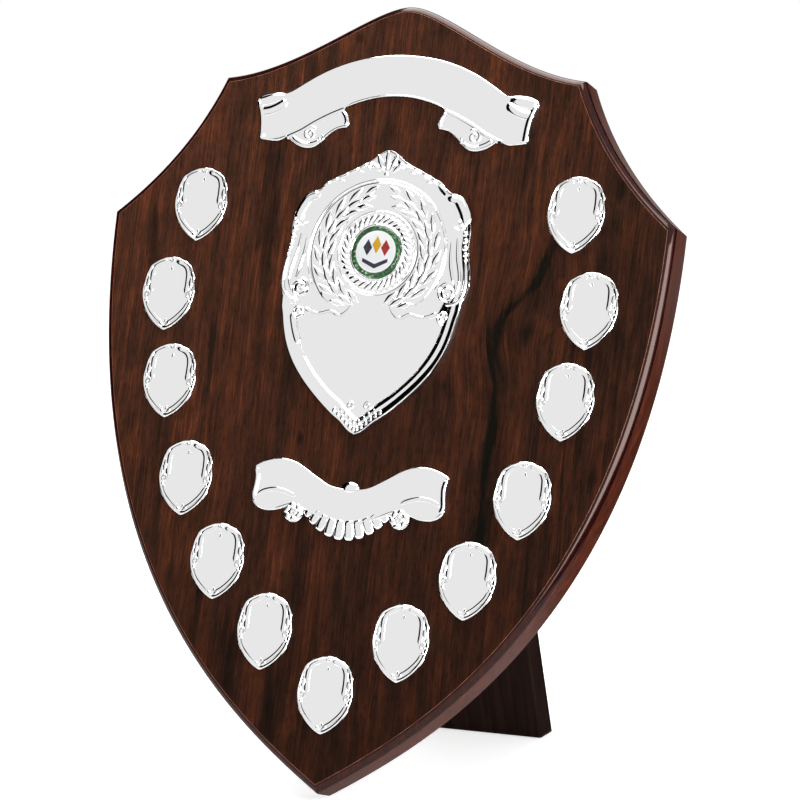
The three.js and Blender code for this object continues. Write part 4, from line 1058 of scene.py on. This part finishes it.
world = bpy.data.worlds.new("paleStudio")
scene.world = world
world.use_nodes = True
tree = world.node_tree
tree.nodes.clear()
path = addNode(tree, "ShaderNodeLightPath")
seen = addNode(tree, "ShaderNodeMath", {
    0: path.outputs["Is Camera Ray"], 1: path.outputs["Is Glossy Ray"]}, operation="MAXIMUM")
seen = addNode(tree, "ShaderNodeMath", {
    0: seen.outputs[0], 1: path.outputs["Is Transmission Ray"]}, operation="MAXIMUM")
strength = addNode(tree, "ShaderNodeMapRange", {
    "Value": seen.outputs[0], "To Min": studio["worldLevel"], "To Max": 1.0})
background = addNode(tree, "ShaderNodeBackground", {
    "Color": (1, 1, 1, 1), "Strength": strength.outputs["Result"]})
addNode(tree, "ShaderNodeOutputWorld", {"Surface": background.outputs["Background"]})

# matt painted board floor: pale, and white where it is only seen
floorPaint, tree, shader = newMaterial("paleFloorPaint", Roughness=0.9, Base_Color=hexColour("f2f2f2"))
path = addNode(tree, "ShaderNodeLightPath")
mirrored = addNode(tree, "ShaderNodeMath", {
    0: path.outputs["Is Glossy Ray"], 1: studio["floorMirrorLift"]}, operation="MULTIPLY")
lift = addNode(tree, "ShaderNodeMath", {
    0: path.outputs["Is Camera Ray"], 1: studio["floorLift"], 2: mirrored.outputs[0]}, operation="MULTIPLY_ADD")
tree.links.new(lift.outputs[0], shader.inputs["Emission Strength"])
shader.inputs["Emission Color"].default_value = (1, 1, 1, 1)


def flatCard(name, place, size, material):
    bm = bmesh.new()
    bmesh.ops.create_grid(bm, x_segments=1, y_segments=1, size=0.5)
    bmesh.ops.transform(bm, matrix=place @ Matrix.Diagonal((size[0], size[1], 1, 1)), verts=bm.verts)
    mesh = bpy.data.meshes.new(name)
    bm.to_mesh(mesh)
    bm.free()
    mesh.materials.append(material)
    card = bpy.data.objects.new(name, mesh)
    scene.collection.objects.link(card)
    return card


flatCard("studioFloor", Matrix.Translation((0, 0, -studio["floorDrop"])), [studio["floorSize"]] * 2, floorPaint)

# brushed cotton flag cloth, dyed black: mirrors show it black, and it gives no highlight
flagCloth, tree, shader = newMaterial(
    "blackFlagCloth", Roughness=1.0, Specular_IOR_Level=0.0, Base_Color=(0.001, 0.001, 0.001, 1))
# place and size in metres, turn in degrees. The left one draws the black lines in the nickel, and the others keep
# the moulding and the board's side dark
flags = {
    "leftFlag": ((-1.6, -0.15, 1.8), (0, 90, 0), (3.6, 3.9)),
    "rightFlag": ((1.95, 0.85, 0.9), (0, 90, 0), (1.8, 1.7)),
    "backFlag": ((1.25, 1.1, 1.13), (90, 0, 0), (2.3, 1.94)),
    "rightFloorFlag": ((0.95, -0.3, 0.001), (0, 0, 0), (1.3, 1.1)),
    "backFloorFlag": ((0.5, 0.69, 0.001), (0, 0, 0), (2.4, 1.24)),
}
for name, (middle, turn, size) in flags.items():
    place = Matrix.Translation(middle) @ Matrix.Rotation(math.radians(turn[0]), 4, "X")
    place = place @ Matrix.Rotation(math.radians(turn[1]), 4, "Y")
    flag = flatCard(name, place, size, flagCloth)
    flag.visible_camera = False
    flag.visible_diffuse = False
    flag.visible_shadow = False


def softLamp(name, place, aim, size, level, lights, inMirrors):
    data = bpy.data.lights.new(name, "AREA")
    data.shape = "RECTANGLE"
    data.size, data.size_y = size
    data.energy = level
    lamp = bpy.data.objects.new(name, data)
    lamp.location = place
    lamp.rotation_euler = (Vector(aim) - Vector(place)).to_track_quat("-Z", "Y").to_euler()
    lamp.visible_diffuse = lights
    lamp.visible_glossy = inMirrors
    scene.collection.objects.link(lamp)


for name, settings in studio["lamps"].items():
    softLamp(name, *settings)

# camera at the photograph's viewing angle
view = {
    "at": (0.582197, -1.336495, 0.372409), "turn": (82.4503, 0.0096, 23.3676), "lens": 136.51, "sensor": 36,
    "nearest": 0.05, "farthest": 60,
}
cameraData = bpy.data.cameras.new("viewCamera")
cameraData.lens = view["lens"]
cameraData.sensor_width = view["sensor"]
cameraData.clip_start = view["nearest"]
cameraData.clip_end = view["farthest"]
camera = bpy.data.objects.new("viewCamera", cameraData)
camera.location = view["at"]
camera.rotation_euler = [math.radians(value) for value in view["turn"]]
scene.collection.objects.link(camera)
scene.camera = camera
scene.view_settings.view_transform = "Standard"
print("studio and camera set")
